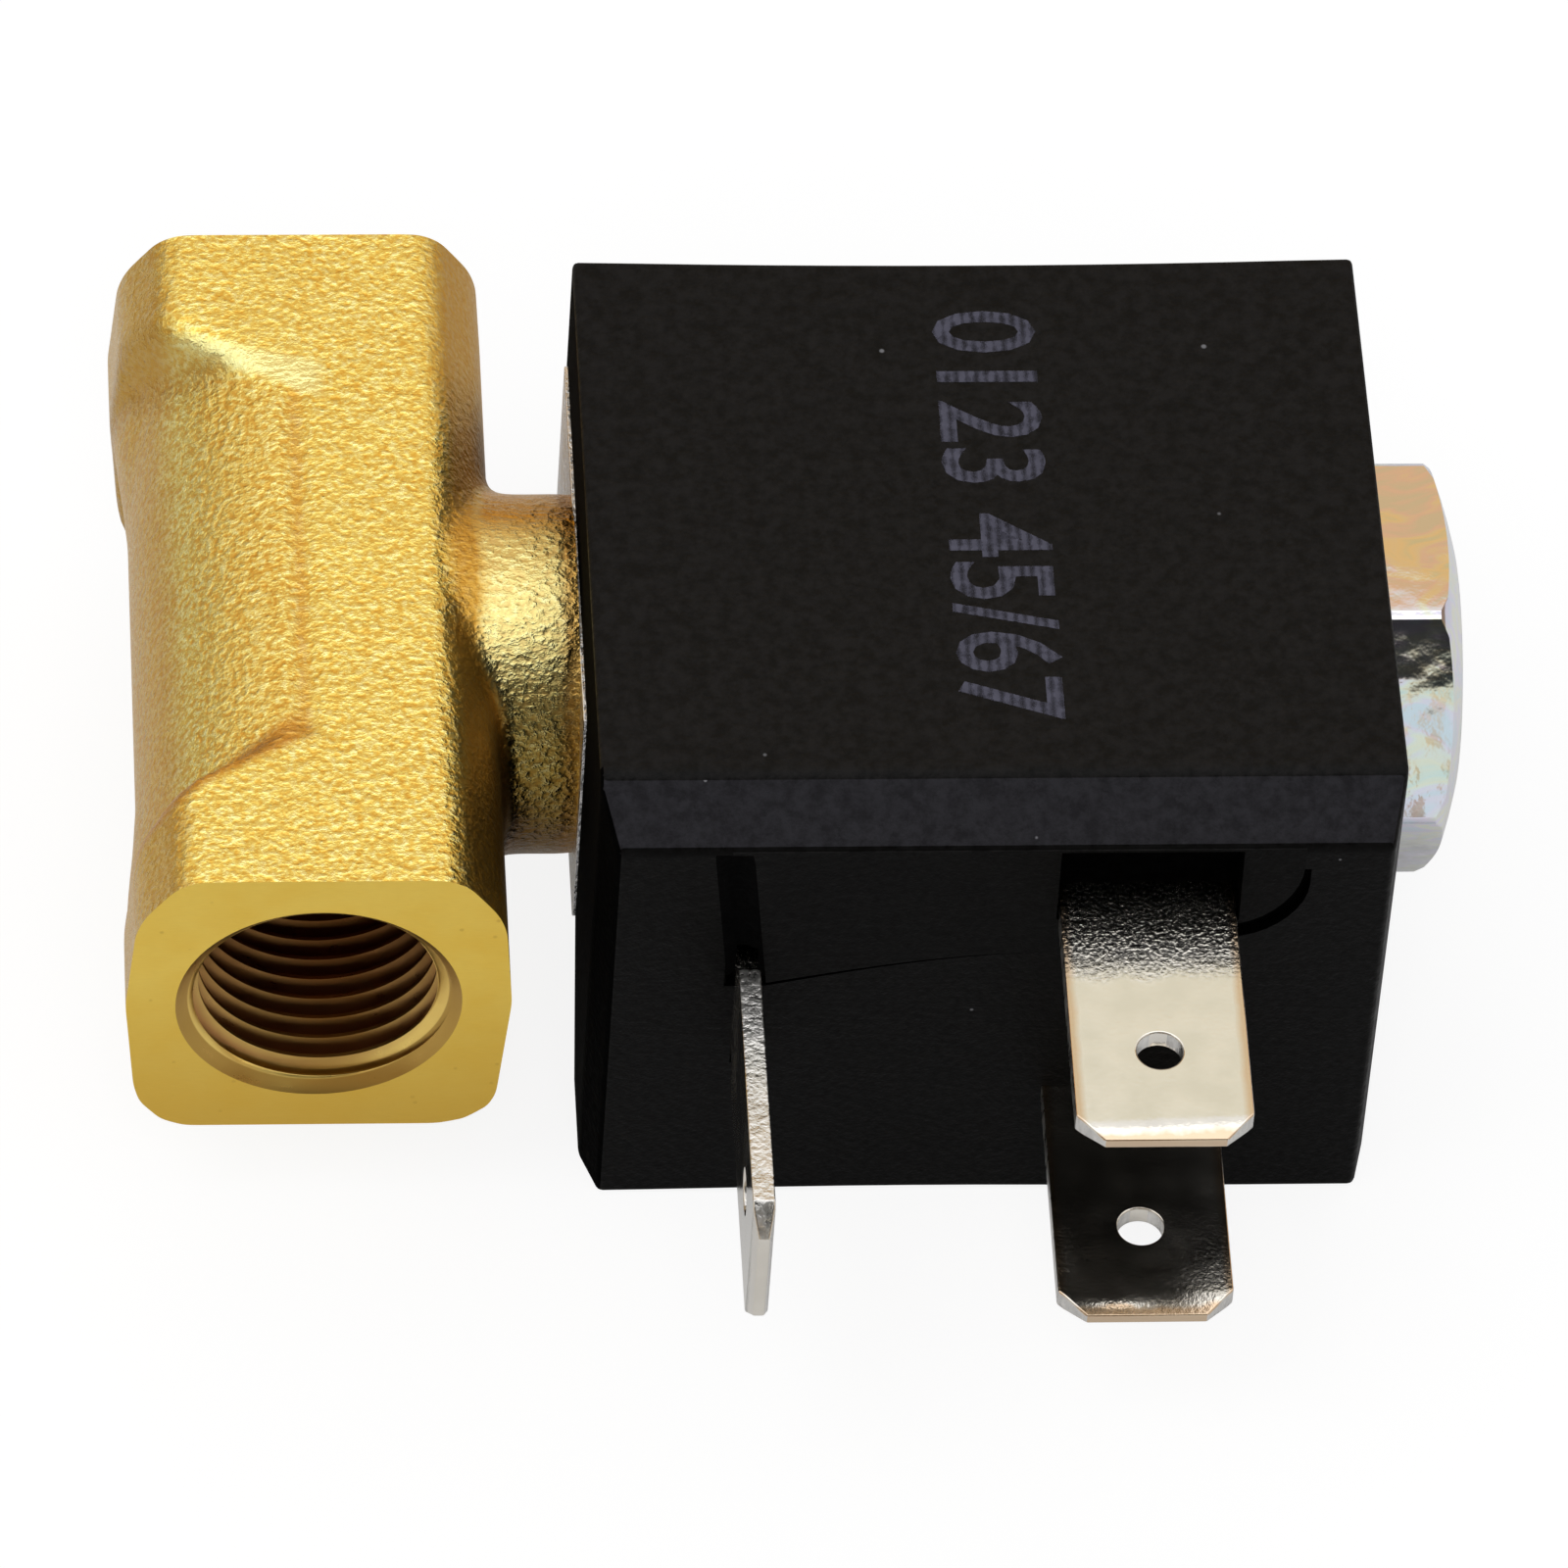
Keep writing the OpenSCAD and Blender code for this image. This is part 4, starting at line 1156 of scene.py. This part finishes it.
def buildCoilShell():
    look = coilShell
    front = coilLow.y + look["padProud"]
    lineLow, lineHigh = cornersOf("line_terminal_upper")
    lowerLow, lowerHigh = cornersOf("line_terminal_lower")
    earthLow, earthHigh = cornersOf("ground_terminal")
    tapeLow, tapeHigh = cornersOf("winding_tape")
    bobbinLow, bobbinHigh = cornersOf("bobbin")
    shell = coilBlank(front)
    tabX = earthHigh.x
    tabLeft = tabX - (lineHigh.z - lineLow.z)
    # The pad stands in a fine crevice along its lower edge and its rounded corner
    pad = terminalPad(front, lineLow, lineHigh, tabLeft)
    for right in (True, False):
        crevice = copyOf(pad, "crevice")
        for vertex in crevice.data.vertices:
            spot = vertex.co / mm
            spot.y = front + look["creviceDepth"] if spot.y > front + 0.3 else front - 1
            if right:
                spot.x += look["creviceRight"][0]
                spot.z += look["creviceRight"][1]
            elif spot.z < look["padHigh"] + 2.5:
                near, far = look["creviceLeft"]
                spot.z -= near + (far - near) * shareOf(spot.x, tabLeft, lineLow.x)
            vertex.co = spot * mm
        planeCut(crevice, (lineHigh.x - 1, 0, 0), (-1 if right else 1, 0, 0))
        cut(shell, crevice)
    join(shell, pad)
    # Relief under the bracket
    relief = addBlock("relief", (coilLow.x - 1, bracketLow.y + look["reliefFrom"], coilLow.z - 1),
                      (coilLow.x + look["reliefDepth"], coilHigh.y + 1, bracketLow.z))
    moveCorners(relief, lambda middle, way: middle.y < axisY and middle.z < -8,
                (0, -look["reliefLean"], 0))
    cut(shell, relief)
    # Room for the bracket, the bobbin and the tabs
    slotTop = coilHigh.z - look["topChamfer"] - 0.1
    plateFront = axisY - bracketLook["plateAhead"]
    web = bracketHigh.y - bracketLook["web"]
    left, right = coilLow.x - 1, coilHigh.x + 1
    # Low and high X, Y and Z of each room
    cutRooms(shell, {
        "nearPlate": ((left, bobbinLow.x), (plateFront, bracketHigh.y), (bracketLow.z, bracketHigh.z)),
        "farPlate": ((bobbinHigh.x, right), (plateFront, bracketHigh.y), (bracketLow.z, bracketHigh.z)),
        "web": ((left, right), (web, bracketHigh.y), (bracketLow.z, bracketHigh.z)),
    })
    cut(shell, turn("bobbinRoom", [
        (bobbinHigh.z, bobbinLow.x - 0.1), (bobbinHigh.z, tapeLow.x), (tapeHigh.z, tapeLow.x),
        (tapeHigh.z, tapeHigh.x), (bobbinHigh.z, tapeHigh.x), (bobbinHigh.z, bobbinHigh.x + 0.1)]))
    cutRooms(shell, {
        "upperSlot": ((lineLow.x - 0.1, lineHigh.x + 0.1), (front - 1, front + look["slotDepth"]),
                      (lineHigh.z - 0.3, slotTop)),
        "upperSocket": ((lineLow.x, lineHigh.x), (front - 1, lineHigh.y), (lineLow.z, lineHigh.z)),
        "lowerSocket": ((lineLow.x, lineHigh.x), (front - 1, lowerHigh.y), (lowerLow.z, lowerHigh.z)),
        "earthSocket": ((tabLeft, tabX), (front - 1, earthHigh.y), (earthLow.z, earthHigh.z)),
    })
    # Slanting slot over the earth tab, its sides sloping out
    floorHalf, mouthHalf = look["leanHalf"]
    middleX = tabLeft - look["leanShift"]
    mouth = front - 0.03
    lean = addBlock("leaningSlot", (middleX - floorHalf, mouth, look["padLow"] - 0.07),
                    (middleX + floorHalf, front + look["leanDepth"], slotTop - 0.03))
    scaleCorners(lean, lambda middle, way: middle.y < mouth + 0.01, (mouthHalf / floorHalf, 1, 1),
                 (middleX, 0, 0))
    extrudeFaces(lean, lambda middle, way: way.y < -0.9, (0, -1, 0))
    moveCorners(lean, lambda middle, way: middle.z < 4, (look["leanShift"] * 2, 0, 0))
    cut(shell, lean)
    mend(shell)
    finishWith(shell, *coilFinish)

    def inSlots(middle, depth, right):
        return (front + 0.03 < middle.y < front + depth and tabLeft - 2.5 < middle.x < right
                and middle.z < slotTop + 0.02)

    # Painted light on the chamfer; painted shade on the front, the slots, the crevice round the pad and
    # the left side
    paintFaces(shell, "chamferLitPlastic", lambda middle, way: way.z > 0.6 and way.y < -0.6)
    paintFaces(shell, "frontShadedPlastic", lambda middle, way: way.y < -0.8)
    paintFaces(shell, "slotShadedPlastic", lambda middle, way: way.x < -0.5 and middle.y < front + 3)
    paintFaces(shell, "sideShadedPlastic", lambda middle, way: way.x < -0.98)
    paintFaces(shell, "slotShadedPlastic", lambda middle, way: (
        inSlots(middle, 3, lineHigh.x + 3) and middle.z > look["padLow"] - 1))
    paintFaces(shell, "leanSlotShadedPlastic", lambda middle, way: (
        inSlots(middle, look["leanDepth"] + 0.01, tabLeft + 1.2) and middle.z > look["padLow"] + 0.02))
    flattenShade(shell, 40)
    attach(shell, "coil")
    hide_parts("coil_housing")
    return shell


bracketLook = {  # the coil's room for it reads these too
    "plate": 1.2,
    "plateAhead": 6.9,  # how far the plates reach ahead of the armature's axis
    "web": 0.8,
    "tongue": 0.7,
    "tongueHalf": 2.5,
    "hole": 4.58,
    "edge": 0.04,
}
shellPiece = buildCoilShell()

print("bracket")


def buildBracket():
    low, high = bracketLow, bracketHigh
    plate, web = bracketLook["plate"], bracketLook["web"]
    front = axisY - bracketLook["plateAhead"]
    bracket = addBlock("bracket", (low.x, high.y - web, low.z), high)
    planeCut(bracket, (low.x + plate, 0, 0), (1, 0, 0), clear=False)
    planeCut(bracket, (high.x - plate, 0, 0), (1, 0, 0), clear=False)
    extrudeFaces(bracket, lambda middle, way: (
        way.y < -0.9 and (middle.x < low.x + plate or middle.x > high.x - plate)),
        (0, front - high.y + web, 0))
    half = bracketLook["tongueHalf"]
    join(bracket, addBlock("tongue", (low.x + plate - bracketLook["tongue"], low.y, -half),
                           (low.x + plate, front + 1, half)))
    hole = bracketLook["hole"]
    cut(bracket, turn("hole", [(hole, low.x - 1), (hole, tubeHigh.x + 4)], sides=128))
    mend(bracket)
    roundEdges(bracket, bracketLook["edge"], 40)
    finishWith(bracket, zincSheet)
    flattenShade(bracket)
    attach(bracket, "coil")
    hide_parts("yoke_frame")


buildBracket()

print("tabs")
tabLook = {
    "corner": 1.0,
    "bevel": 0.8,
    "tipHalf": 0.2,
    "hole": 0.825,
    "holeBack": 3.9,
    "rootNotch": 0.9,
    "rootLong": 0.5,
    "foot": 0.8,
    "footHalf": 2.5,
    "edge": 0.07,
}


# A tab lying flat about Z 0 with its middle at X 0, from its tip to its root
def flatTab(name, tip, root, half, thick):
    look = tabLook
    tab = addBlock(name, (-half, tip, -thick), (half, root, thick))
    for side in (1, -1):
        planeCut(tab, (side * half, tip + look["corner"], 0), (side, -1, 0))
        planeCut(tab, (0, tip, side * look["tipHalf"]),
                 (0, -(thick - look["tipHalf"]), side * look["bevel"]))
    cut(tab, add("tabHole", bpy.ops.mesh.primitive_cylinder_add, vertices=48,
                 radius=look["hole"] * mm, depth=4 * mm,
                 location=Vector((0, tip + look["holeBack"], 0)) * mm))
    roundEdges(tab, look["edge"], 20)
    finishWith(tab, tinPlate, shearedTin)
    paintFaces(tab, "shearedTin", lambda middle, way: (
        abs(way.x) > 0.9 or (abs(way.x) > 0.4 and abs(way.y) > 0.4 and abs(way.z) < 0.3)))
    return tab


def buildTabs():
    upperLow, upperHigh = cornersOf("line_terminal_upper")
    lowerLow, lowerHigh = cornersOf("line_terminal_lower")
    earthLow, earthHigh = cornersOf("ground_terminal")
    half = (upperHigh.x - upperLow.x) / 2
    thick = (upperHigh.z - upperLow.z) / 2
    middleX = (upperHigh.x + upperLow.x) / 2
    upper = flatTab("lineTabUpper", upperLow.y, upperHigh.y, half, thick)
    lower = copyOf(upper, "lineTabLower")
    upper.location = Vector((middleX, 0, (upperLow.z + upperHigh.z) / 2)) * mm
    lower.location = Vector((middleX, 0, (lowerLow.z + lowerHigh.z) / 2)) * mm
    earth = flatTab("earthTab", earthLow.y, earthHigh.y, half, thick)
    earth.rotation_euler = (0, math.pi / 2, 0)
    earth.location = Vector((earthHigh.x - thick, 0, 0)) * mm
    settle(earth)
    footHalf = tabLook["footHalf"]
    join(earth, addBlock("foot", (earthLow.x, earthHigh.y - tabLook["foot"], -footHalf),
                         (earthHigh.x - 2 * thick + 0.05, earthHigh.y, footHalf)))
    # Narrower where it leaves the plastic
    notch = tabLook["rootNotch"]
    for side in (1, -1):
        ends = sorted((side * (half - notch), side * (half + 1)))
        cut(earth, addBlock("rootNotch", (earthLow.x - 1, coilLow.y - tabLook["rootLong"], ends[0]),
                            (earthHigh.x + 1, earthHigh.y + 1, ends[1])))
    mend(earth)
    for tab, node in ((upper, "line_terminal_upper"), (lower, "line_terminal_lower"),
                      (earth, "ground_terminal")):
        settle(tab)
        flattenShade(tab)
        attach(tab, "coil")
        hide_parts(node)


buildTabs()

print("nut")
nutLook = {
    "flats": 13.5,
    "turn": 26.0,
    "cornerCut": 0.1,
    "cornerRound": 0.1,
    "underside": 0.3,
    "rimWide": 0.3,
    "rimHigh": 0.3,
    "bore": 4.05,
    "boreHollow": 0.5,
    "boreRim": 4.8,
    "domeRadius": 21.0,
    "domeSteps": (6.6, 5.9, 5.2, 4.9),
    "below": 0.003,  # how far the turned face stays under the true dome
}


def buildNut():
    look = nutLook
    start, end = nutLow.x, nutHigh.x
    reach = look["flats"] / math.sqrt(3)
    dome, bore = look["domeRadius"], look["bore"]
    nut = add("coilNut", bpy.ops.mesh.primitive_cylinder_add, vertices=6, radius=reach * mm,
              depth=(end - start) * mm, location=Vector(((start + end) / 2, axisY, 0)) * mm,
              rotation=(0, math.pi / 2, 0))
    turnRound(nut, look["turn"] + 30, "X", (0, axisY, 0))
    bevelEdges(nut, lambda middle, way: abs(way.x) > 0.9, look["cornerRound"], 3)
    corner = reach - look["cornerCut"]
    wide, high = look["rimWide"], look["rimHigh"]
    centre = end - math.sqrt(dome * dome - bore * bore)

    def domeAt(radius):
        return centre + math.sqrt(dome * dome - radius * radius) - look["below"]

    rim = domeAt(corner - wide)
    hollow, top = look["boreHollow"], domeAt(look["boreRim"])
    outline = [(corner - look["underside"], start), (corner, start + look["underside"]),
               (corner, rim - high), (corner - 0.4 * wide, rim - 0.6 * high)]
    outline += [(radius, domeAt(radius)) for radius in (corner - wide, *look["domeSteps"])]
    outline += [(bore + hollow, top - 0.1 * hollow), (bore + 0.3 * hollow, top - hollow),
                (bore - 0.2, top - 1.2 * hollow)]
    combine(nut, turn("crown", outline, sides=160), "INTERSECT")
    cut(nut, turn("nutBore", [(bore, start - 1), (bore, end + 1)], sides=64))
    finishWith(nut, rainbowZinc())
    flattenShade(nut, 32)
    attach(nut, "valve")
    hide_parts("coil_nut")


buildNut()

print("inner pieces")
innerMetals = {
    "springSteel": {"dark": grey(0.5), "light": grey(0.7), "rough": (0.25, 0.4), "size": 1.5},
    "turnedIron": {"dark": colour(0.42, 0.42, 0.43), "light": colour(0.58, 0.58, 0.59),
                   "rough": (0.3, 0.45), "stretch": (6, 1, 1)},
    "drawnStainless": {"dark": grey(0.5), "light": colour(0.68, 0.68, 0.67), "rough": (0.25, 0.38),
                       "depth": 0.005, "stretch": (1, 6, 6)},
    "turnedBrass": {"dark": colour(0.6, 0.4, 0.12), "light": colour(0.8, 0.56, 0.2),
                    "rough": (0.25, 0.4), "stretch": (6, 1, 1)},
    "enamelledCopper": {"dark": colour(0.5, 0.2, 0.08), "light": colour(0.72, 0.33, 0.14),
                        "rough": (0.25, 0.4), "size": 1.0, "depth": 0.02, "stretch": (8, 1, 1)},
}
innerPlastics = {
    "blackRubber": {"dark": grey(0.01), "light": grey(0.03), "rough": (0.5, 0.7)},
    "redRubber": {"dark": colour(0.25, 0.03, 0.02), "light": colour(0.4, 0.06, 0.04),
                  "rough": (0.5, 0.7)},
    "bobbinPlastic": {"dark": colour(0.65, 0.62, 0.52), "light": colour(0.78, 0.75, 0.65),
                      "rough": (0.4, 0.55)},
    "tapeFilm": {"dark": colour(0.7, 0.52, 0.12), "light": colour(0.85, 0.68, 0.25),
                 "rough": (0.2, 0.35)},
}
innerFinish = {
    "guide_tube": "drawnStainless",
    "tube_ferrule": "turnedBrass",
    "tube_o_ring": "blackRubber",
    "shading_ring": "enamelledCopper",
    "plunger": "turnedIron",
    "plunger_seal": "redRubber",
    "yoke_sleeve_left": "turnedIron",
    "yoke_sleeve_right": "turnedIron",
    "bobbin": "bobbinPlastic",
    "coil_winding": "enamelledCopper",
    "winding_tape": "tapeFilm",
    "lead_wire_upper": "enamelledCopper",
    "lead_wire_lower": "enamelledCopper",
}
finishes = {name: plainMetal(name, **look) for name, look in innerMetals.items()}
for name, look in innerPlastics.items():
    finishes[name] = plainPlastic(name, **look)
for node, finish in innerFinish.items():
    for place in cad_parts[node].material_slots:
        place.material = finishes[finish]

print("return spring")
springLook = {
    "radius": 1.6,
    "wire": 0.2,
    "turns": 6,
}


def buildSpring():
    look = springLook
    low, high = cornersOf("return_spring")
    spring = add("returnSpring", bpy.ops.mesh.primitive_circle_add, vertices=12,
                 radius=look["wire"] * mm, location=(look["radius"] * mm, 0, 0),
                 rotation=(math.pi / 2, 0, 0))
    wind(spring, (high.x - low.x - 2 * look["wire"]) / look["turns"], look["turns"], 32)
    spring.rotation_euler = (0, math.pi / 2, 0)
    spring.location = Vector((low.x + look["wire"], axisY, 0)) * mm
    settle(spring)
    finishWith(spring, finishes["springSteel"])
    smoothShade(spring, 60)
    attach(spring, "armature")
    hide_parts("return_spring")
    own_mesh(spring)


buildSpring()

print("print on the coil")
printLook = {
    "words": "0123 45/67",
    "near": 3.65,  # Y of its end and of its start, and X of the feet and heads of the figures
    "far": 23.05,
    "feet": 22.6,
    "heads": 26.4,
    "weight": 0.012,
    "lift": 0.006,
    "dark": colour(0.045, 0.045, 0.07),
    "light": colour(0.12, 0.12, 0.17),
    "barLength": 0.36,
    "wearSize": 0.5,
}


# Dot-printed lettering: fine bars of ink across the strokes
def printInk():
    look = printLook
    recipe = newRecipe("printInk")
    place = placeOn(recipe)
    along = axisOf(place, "X") / (look["barLength"] * mm)
    bar = along.maths("PINGPONG", along, 0.5)
    worn = clouds(place, look["wearSize"], 3, 0.6)
    return recipe.surface({
        "Base Color": tint(worn, look["dark"], look["light"]),
        "Roughness": 0.6,
        "Specular IOR Level": 0.2,
        "Alpha": between(bar * 0.5 + worn * 0.5, 0.24, 0.44, 0.3, 0.9),
    })


def buildPrint():
    look = printLook
    bpy.ops.object.select_all(action="DESELECT")
    bpy.ops.object.text_add()
    words = bpy.context.object
    words.name = "coilPrint"
    words.data.body = look["words"]
    words.data.offset = look["weight"]
    words.data.resolution_u = 3
    bpy.ops.object.convert(target="MESH")
    words = settle(bpy.context.object)
    corners = [vertex.co.copy() for vertex in words.data.vertices]
    left, right = min(corner.x for corner in corners), max(corner.x for corner in corners)
    foot, head = min(corner.y for corner in corners), max(corner.y for corner in corners)
    for vertex, corner in zip(words.data.vertices, corners):
        along = (corner.x - left) / (right - left)
        up = (corner.y - foot) / (head - foot)
        vertex.co = Vector((look["feet"] + up * (look["heads"] - look["feet"]),
                            look["far"] - along * (look["far"] - look["near"]),
                            coilHigh.z + 1)) * mm
    applyModifier(words, "SHRINKWRAP", {
        "target": shellPiece, "wrap_method": "PROJECT", "use_project_z": True,
        "use_negative_direction": True, "use_positive_direction": False,
        "offset": look["lift"] * mm})
    finishWith(words, printInk())
    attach(words, "coil")


buildPrint()

print("fixed core")
coreLook = {
    "foot": 4.1,
    "inTube": 4.2,
    "collar": 4.5,
    "ringGroove": (2.6, 3.3),
    "grooveDepth": 0.7,
    "drill": 1.1,
    "drillDepth": 0.6,
    "pitch": 1.0,
    "stud": 4.0,
    "root": 3.4,
    "turns": 3,
    "ridgeHalf": (0.44, 0.08),  # half height of the thread's ridge at its root and at its crest
}


def buildCore():
    look = coreLook
    low, high = cornersOf("fixed_core")
    shoulder = tubeHigh.x
    stud = coilHigh.x - 0.2
    tube, collar, root, drill = look["inTube"], look["collar"], look["root"], look["drill"]
    core = turn("fixedCore", [
        (look["foot"], low.x), (tube, low.x + 0.1), (tube, shoulder), (collar, shoulder),
        (collar, stud), (root, stud), (root, high.x - 0.2), (root - 0.3, high.x), (drill, high.x),
        (0.15, high.x - look["drillDepth"])], sides=64)
    near, far = look["ringGroove"]
    depth = low.x + look["grooveDepth"]
    cut(core, turn("groove", [(near, depth), (near, low.x - 1), (far, low.x - 1), (far, depth)],
                   sides=64))
    rootHalf, crestHalf = look["ridgeHalf"]
    thread = windThread("studThread", root - 0.1, look["stud"], rootHalf, crestHalf,
                        look["pitch"], look["turns"], 48)
    thread.rotation_euler = (0, math.pi / 2, 0)
    thread.location = Vector((stud + 0.42, axisY, 0)) * mm
    planeCut(settle(thread), (high.x - 0.25, 0, 0), (1, 0, 0))
    join(core, thread)
    finishWith(core, finishes["turnedIron"])
    smoothShade(core)
    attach(core, "valve")
    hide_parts("fixed_core")


buildCore()

print("stage")
stageLook = {
    "middle": (0.016, 0.015),  # the sizes of the stage are in metres
    "floorSize": 3.0,
    "floorDrop": 0.00002,
    "sky": 0.5,
    "seenFloor": 0.75,
    "mirroredFloor": 0.15,
    "floorGlow": 1.15,
    "ringRadius": 0.8,
    "ringHeight": 0.34,
    "ringDrop": 0.01,  # how far it reaches below the axis
    "ringRise": (0.1, 0.32),  # heights between which its colour changes
    "ringLow": colour(0.3, 0.22, 0.15),
    "ringHigh": colour(0.93, 0.83, 0.67),
}


def rayIs(recipe, kind):
    return recipe.node("ShaderNodeLightPath", output="Is %s Ray" % kind)


def paintStage(piece, recipe, surface):
    finishWith(piece, recipe.node("ShaderNodeOutputMaterial", {}, {"Surface": surface}))


def buildFloor():
    look = stageLook
    floor = add("floor", bpy.ops.mesh.primitive_plane_add, size=look["floorSize"],
                location=(*look["middle"], coilLow.z * mm - look["floorDrop"]))
    recipe = newRecipe("paleFloor")
    matt = recipe.node("ShaderNodeBsdfPrincipled", {}, {
        "Base Color": grey(0.8), "Roughness": 0.9, "Specular IOR Level": 0.1})
    glow = recipe.node("ShaderNodeEmission", {}, {"Strength": look["floorGlow"]})
    shown = rayIs(recipe, "Camera") * look["seenFloor"] + (
        rayIs(recipe, "Glossy") * look["mirroredFloor"])
    lit = recipe.node("ShaderNodeMixShader", {}, {0: shown, 1: matt, 2: glow})
    below = recipe.node("ShaderNodeNewGeometry", output="Backfacing")
    clear = recipe.node("ShaderNodeBsdfTransparent")
    paintStage(floor, recipe, recipe.node("ShaderNodeMixShader", {}, {0: below, 1: lit, 2: clear}))


# Plain white where it is seen or mirrored, soft grey light elsewhere
def buildWorld():
    world = bpy.data.worlds.new("studio")
    bpy.context.scene.world = world
    recipe = Recipe(world)
    plain = rayIs(recipe, "Camera")
    for kind in ("Glossy", "Transmission"):
        plain = plain.maths("MAXIMUM", plain, rayIs(recipe, kind))
    soft = recipe.node("ShaderNodeBackground", {}, {
        "Color": grey(1), "Strength": stageLook["sky"]})
    white = recipe.node("ShaderNodeBackground", {}, {"Color": grey(1), "Strength": 1.0})
    mixed = recipe.node("ShaderNodeMixShader", {}, {0: plain, 1: soft, 2: white})
    recipe.node("ShaderNodeOutputWorld", {}, {"Surface": mixed})


lampAim = (16, 12, 0)
lamps = {  # places and sizes in metres
    "key": {"place": (-0.25, -0.1, 0.55), "size": 0.35, "power": 0.5},
    "fill": {"place": (0.0, -0.42, 0.5), "size": 0.3, "power": 0.7},
    "rim": {"place": (0.1, 0.55, 0.35), "size": 0.4, "power": 0.3},
}


def placeLamps():
    aim = Vector(lampAim) * mm
    for name, lamp in lamps.items():
        bpy.ops.object.light_add(type="AREA", location=lamp["place"])
        light = bpy.context.object
        light.name = name
        light.data.shape = "DISK"
        light.data.size = lamp["size"]
        light.data.energy = lamp["power"]
        light.visible_glossy = False  # the cards below are what the metal mirrors
        light.rotation_mode = "QUATERNION"
        light.rotation_quaternion = (aim - light.location).to_track_quat("-Z", "Y")


# A wall or card that only mirrored rays meet, its colour running up from low to high
def glowWall(piece, low, high, rise):
    recipe = newRecipe(piece.name)
    height = axisOf(recipe.node("ShaderNodeTexCoord", output="Object"), "Z")
    blend = tint(between(height, *rise), low, high)
    paintStage(piece, recipe, recipe.node("ShaderNodeEmission", {}, {"Color": blend}))
    piece.visible_camera = False
    piece.visible_diffuse = False
    piece.visible_transmission = False
    piece.visible_shadow = False


cards = {
    "skyCard": {"place": (0.0, 0.06, 0.6), "size": (0.8, 0.42), "tilt": 0,
                "low": grey(1.6), "high": grey(1.6), "rise": (0.0, 1.0)},
    "warmCard": {"place": (0.0, 0.5, 0.5), "size": (1.2, 0.5), "tilt": 90,
                 "low": colour(0.8, 0.52, 0.26), "high": colour(0.9, 0.87, 0.74),
                 "rise": (0.49, 0.56)},
    "darkCard": {"place": (0.0, -0.38, 0.33), "size": (0.8, 0.364), "tilt": 90,
                 "low": colour(0.4, 0.36, 0.3), "high": grey(0.03), "rise": (0.148, 0.163)},
    "paleCard": {"place": (0.15, -0.45, 0.085), "size": (0.12, 0.17), "tilt": 90,
                 "low": colour(0.72, 0.79, 0.78), "high": colour(0.72, 0.79, 0.78),
                 "rise": (0.0, 1.0)},
}


def placeCards():
    for name, card in cards.items():
        bpy.ops.object.select_all(action="DESELECT")
        bpy.ops.mesh.primitive_plane_add(
            size=1, location=card["place"], rotation=(math.radians(card["tilt"]), 0, 0))
        piece = bpy.context.object
        piece.name = name
        piece.scale = (*card["size"], 1)
        settle(piece)
        glowWall(piece, card["low"], card["high"], card["rise"])


# Darker horizon all round
def buildRing():
    look = stageLook
    ring = add("horizon", bpy.ops.mesh.primitive_cylinder_add, vertices=96,
               radius=look["ringRadius"], depth=look["ringHeight"], end_fill_type="NOTHING",
               location=(*look["middle"], look["ringHeight"] / 2 - look["ringDrop"]))
    glowWall(ring, look["ringLow"], look["ringHigh"], look["ringRise"])


placeLamps()
buildFloor()
buildWorld()
placeCards()
buildRing()

viewpoint = {
    "lens": 333.6,
    "distance": 526.19,
    "azimuth": -6.277,
    "elevation": 49.854,
    "roll": 4.408,
    "aim": (16, 10, 0),
    "slide": (-1.163, 0.302),
}


def placeCamera():
    azimuth, elevation, roll = [
        math.radians(viewpoint[angle]) for angle in ("azimuth", "elevation", "roll")]
    back = Vector((math.sin(azimuth) * math.cos(elevation),
                   -math.cos(azimuth) * math.cos(elevation), math.sin(elevation)))
    right = Vector((math.cos(azimuth), math.sin(azimuth), 0))
    up = back.cross(right)
    level = right * math.cos(roll) + up * math.sin(roll)
    high = up * math.cos(roll) - right * math.sin(roll)
    slideX, slideY = viewpoint["slide"]
    spot = Vector(viewpoint["aim"]) + back * viewpoint["distance"] - level * slideX - high * slideY
    bpy.ops.object.camera_add(location=spot * mm)
    camera = bpy.context.object
    camera.data.lens = viewpoint["lens"]
    camera.data.sensor_width = 36
    camera.rotation_mode = "QUATERNION"
    camera.rotation_quaternion = Matrix((level, high, back)).transposed().to_quaternion()
    bpy.context.scene.camera = camera


placeCamera()

bpy.context.scene.view_settings.view_transform = "Standard"
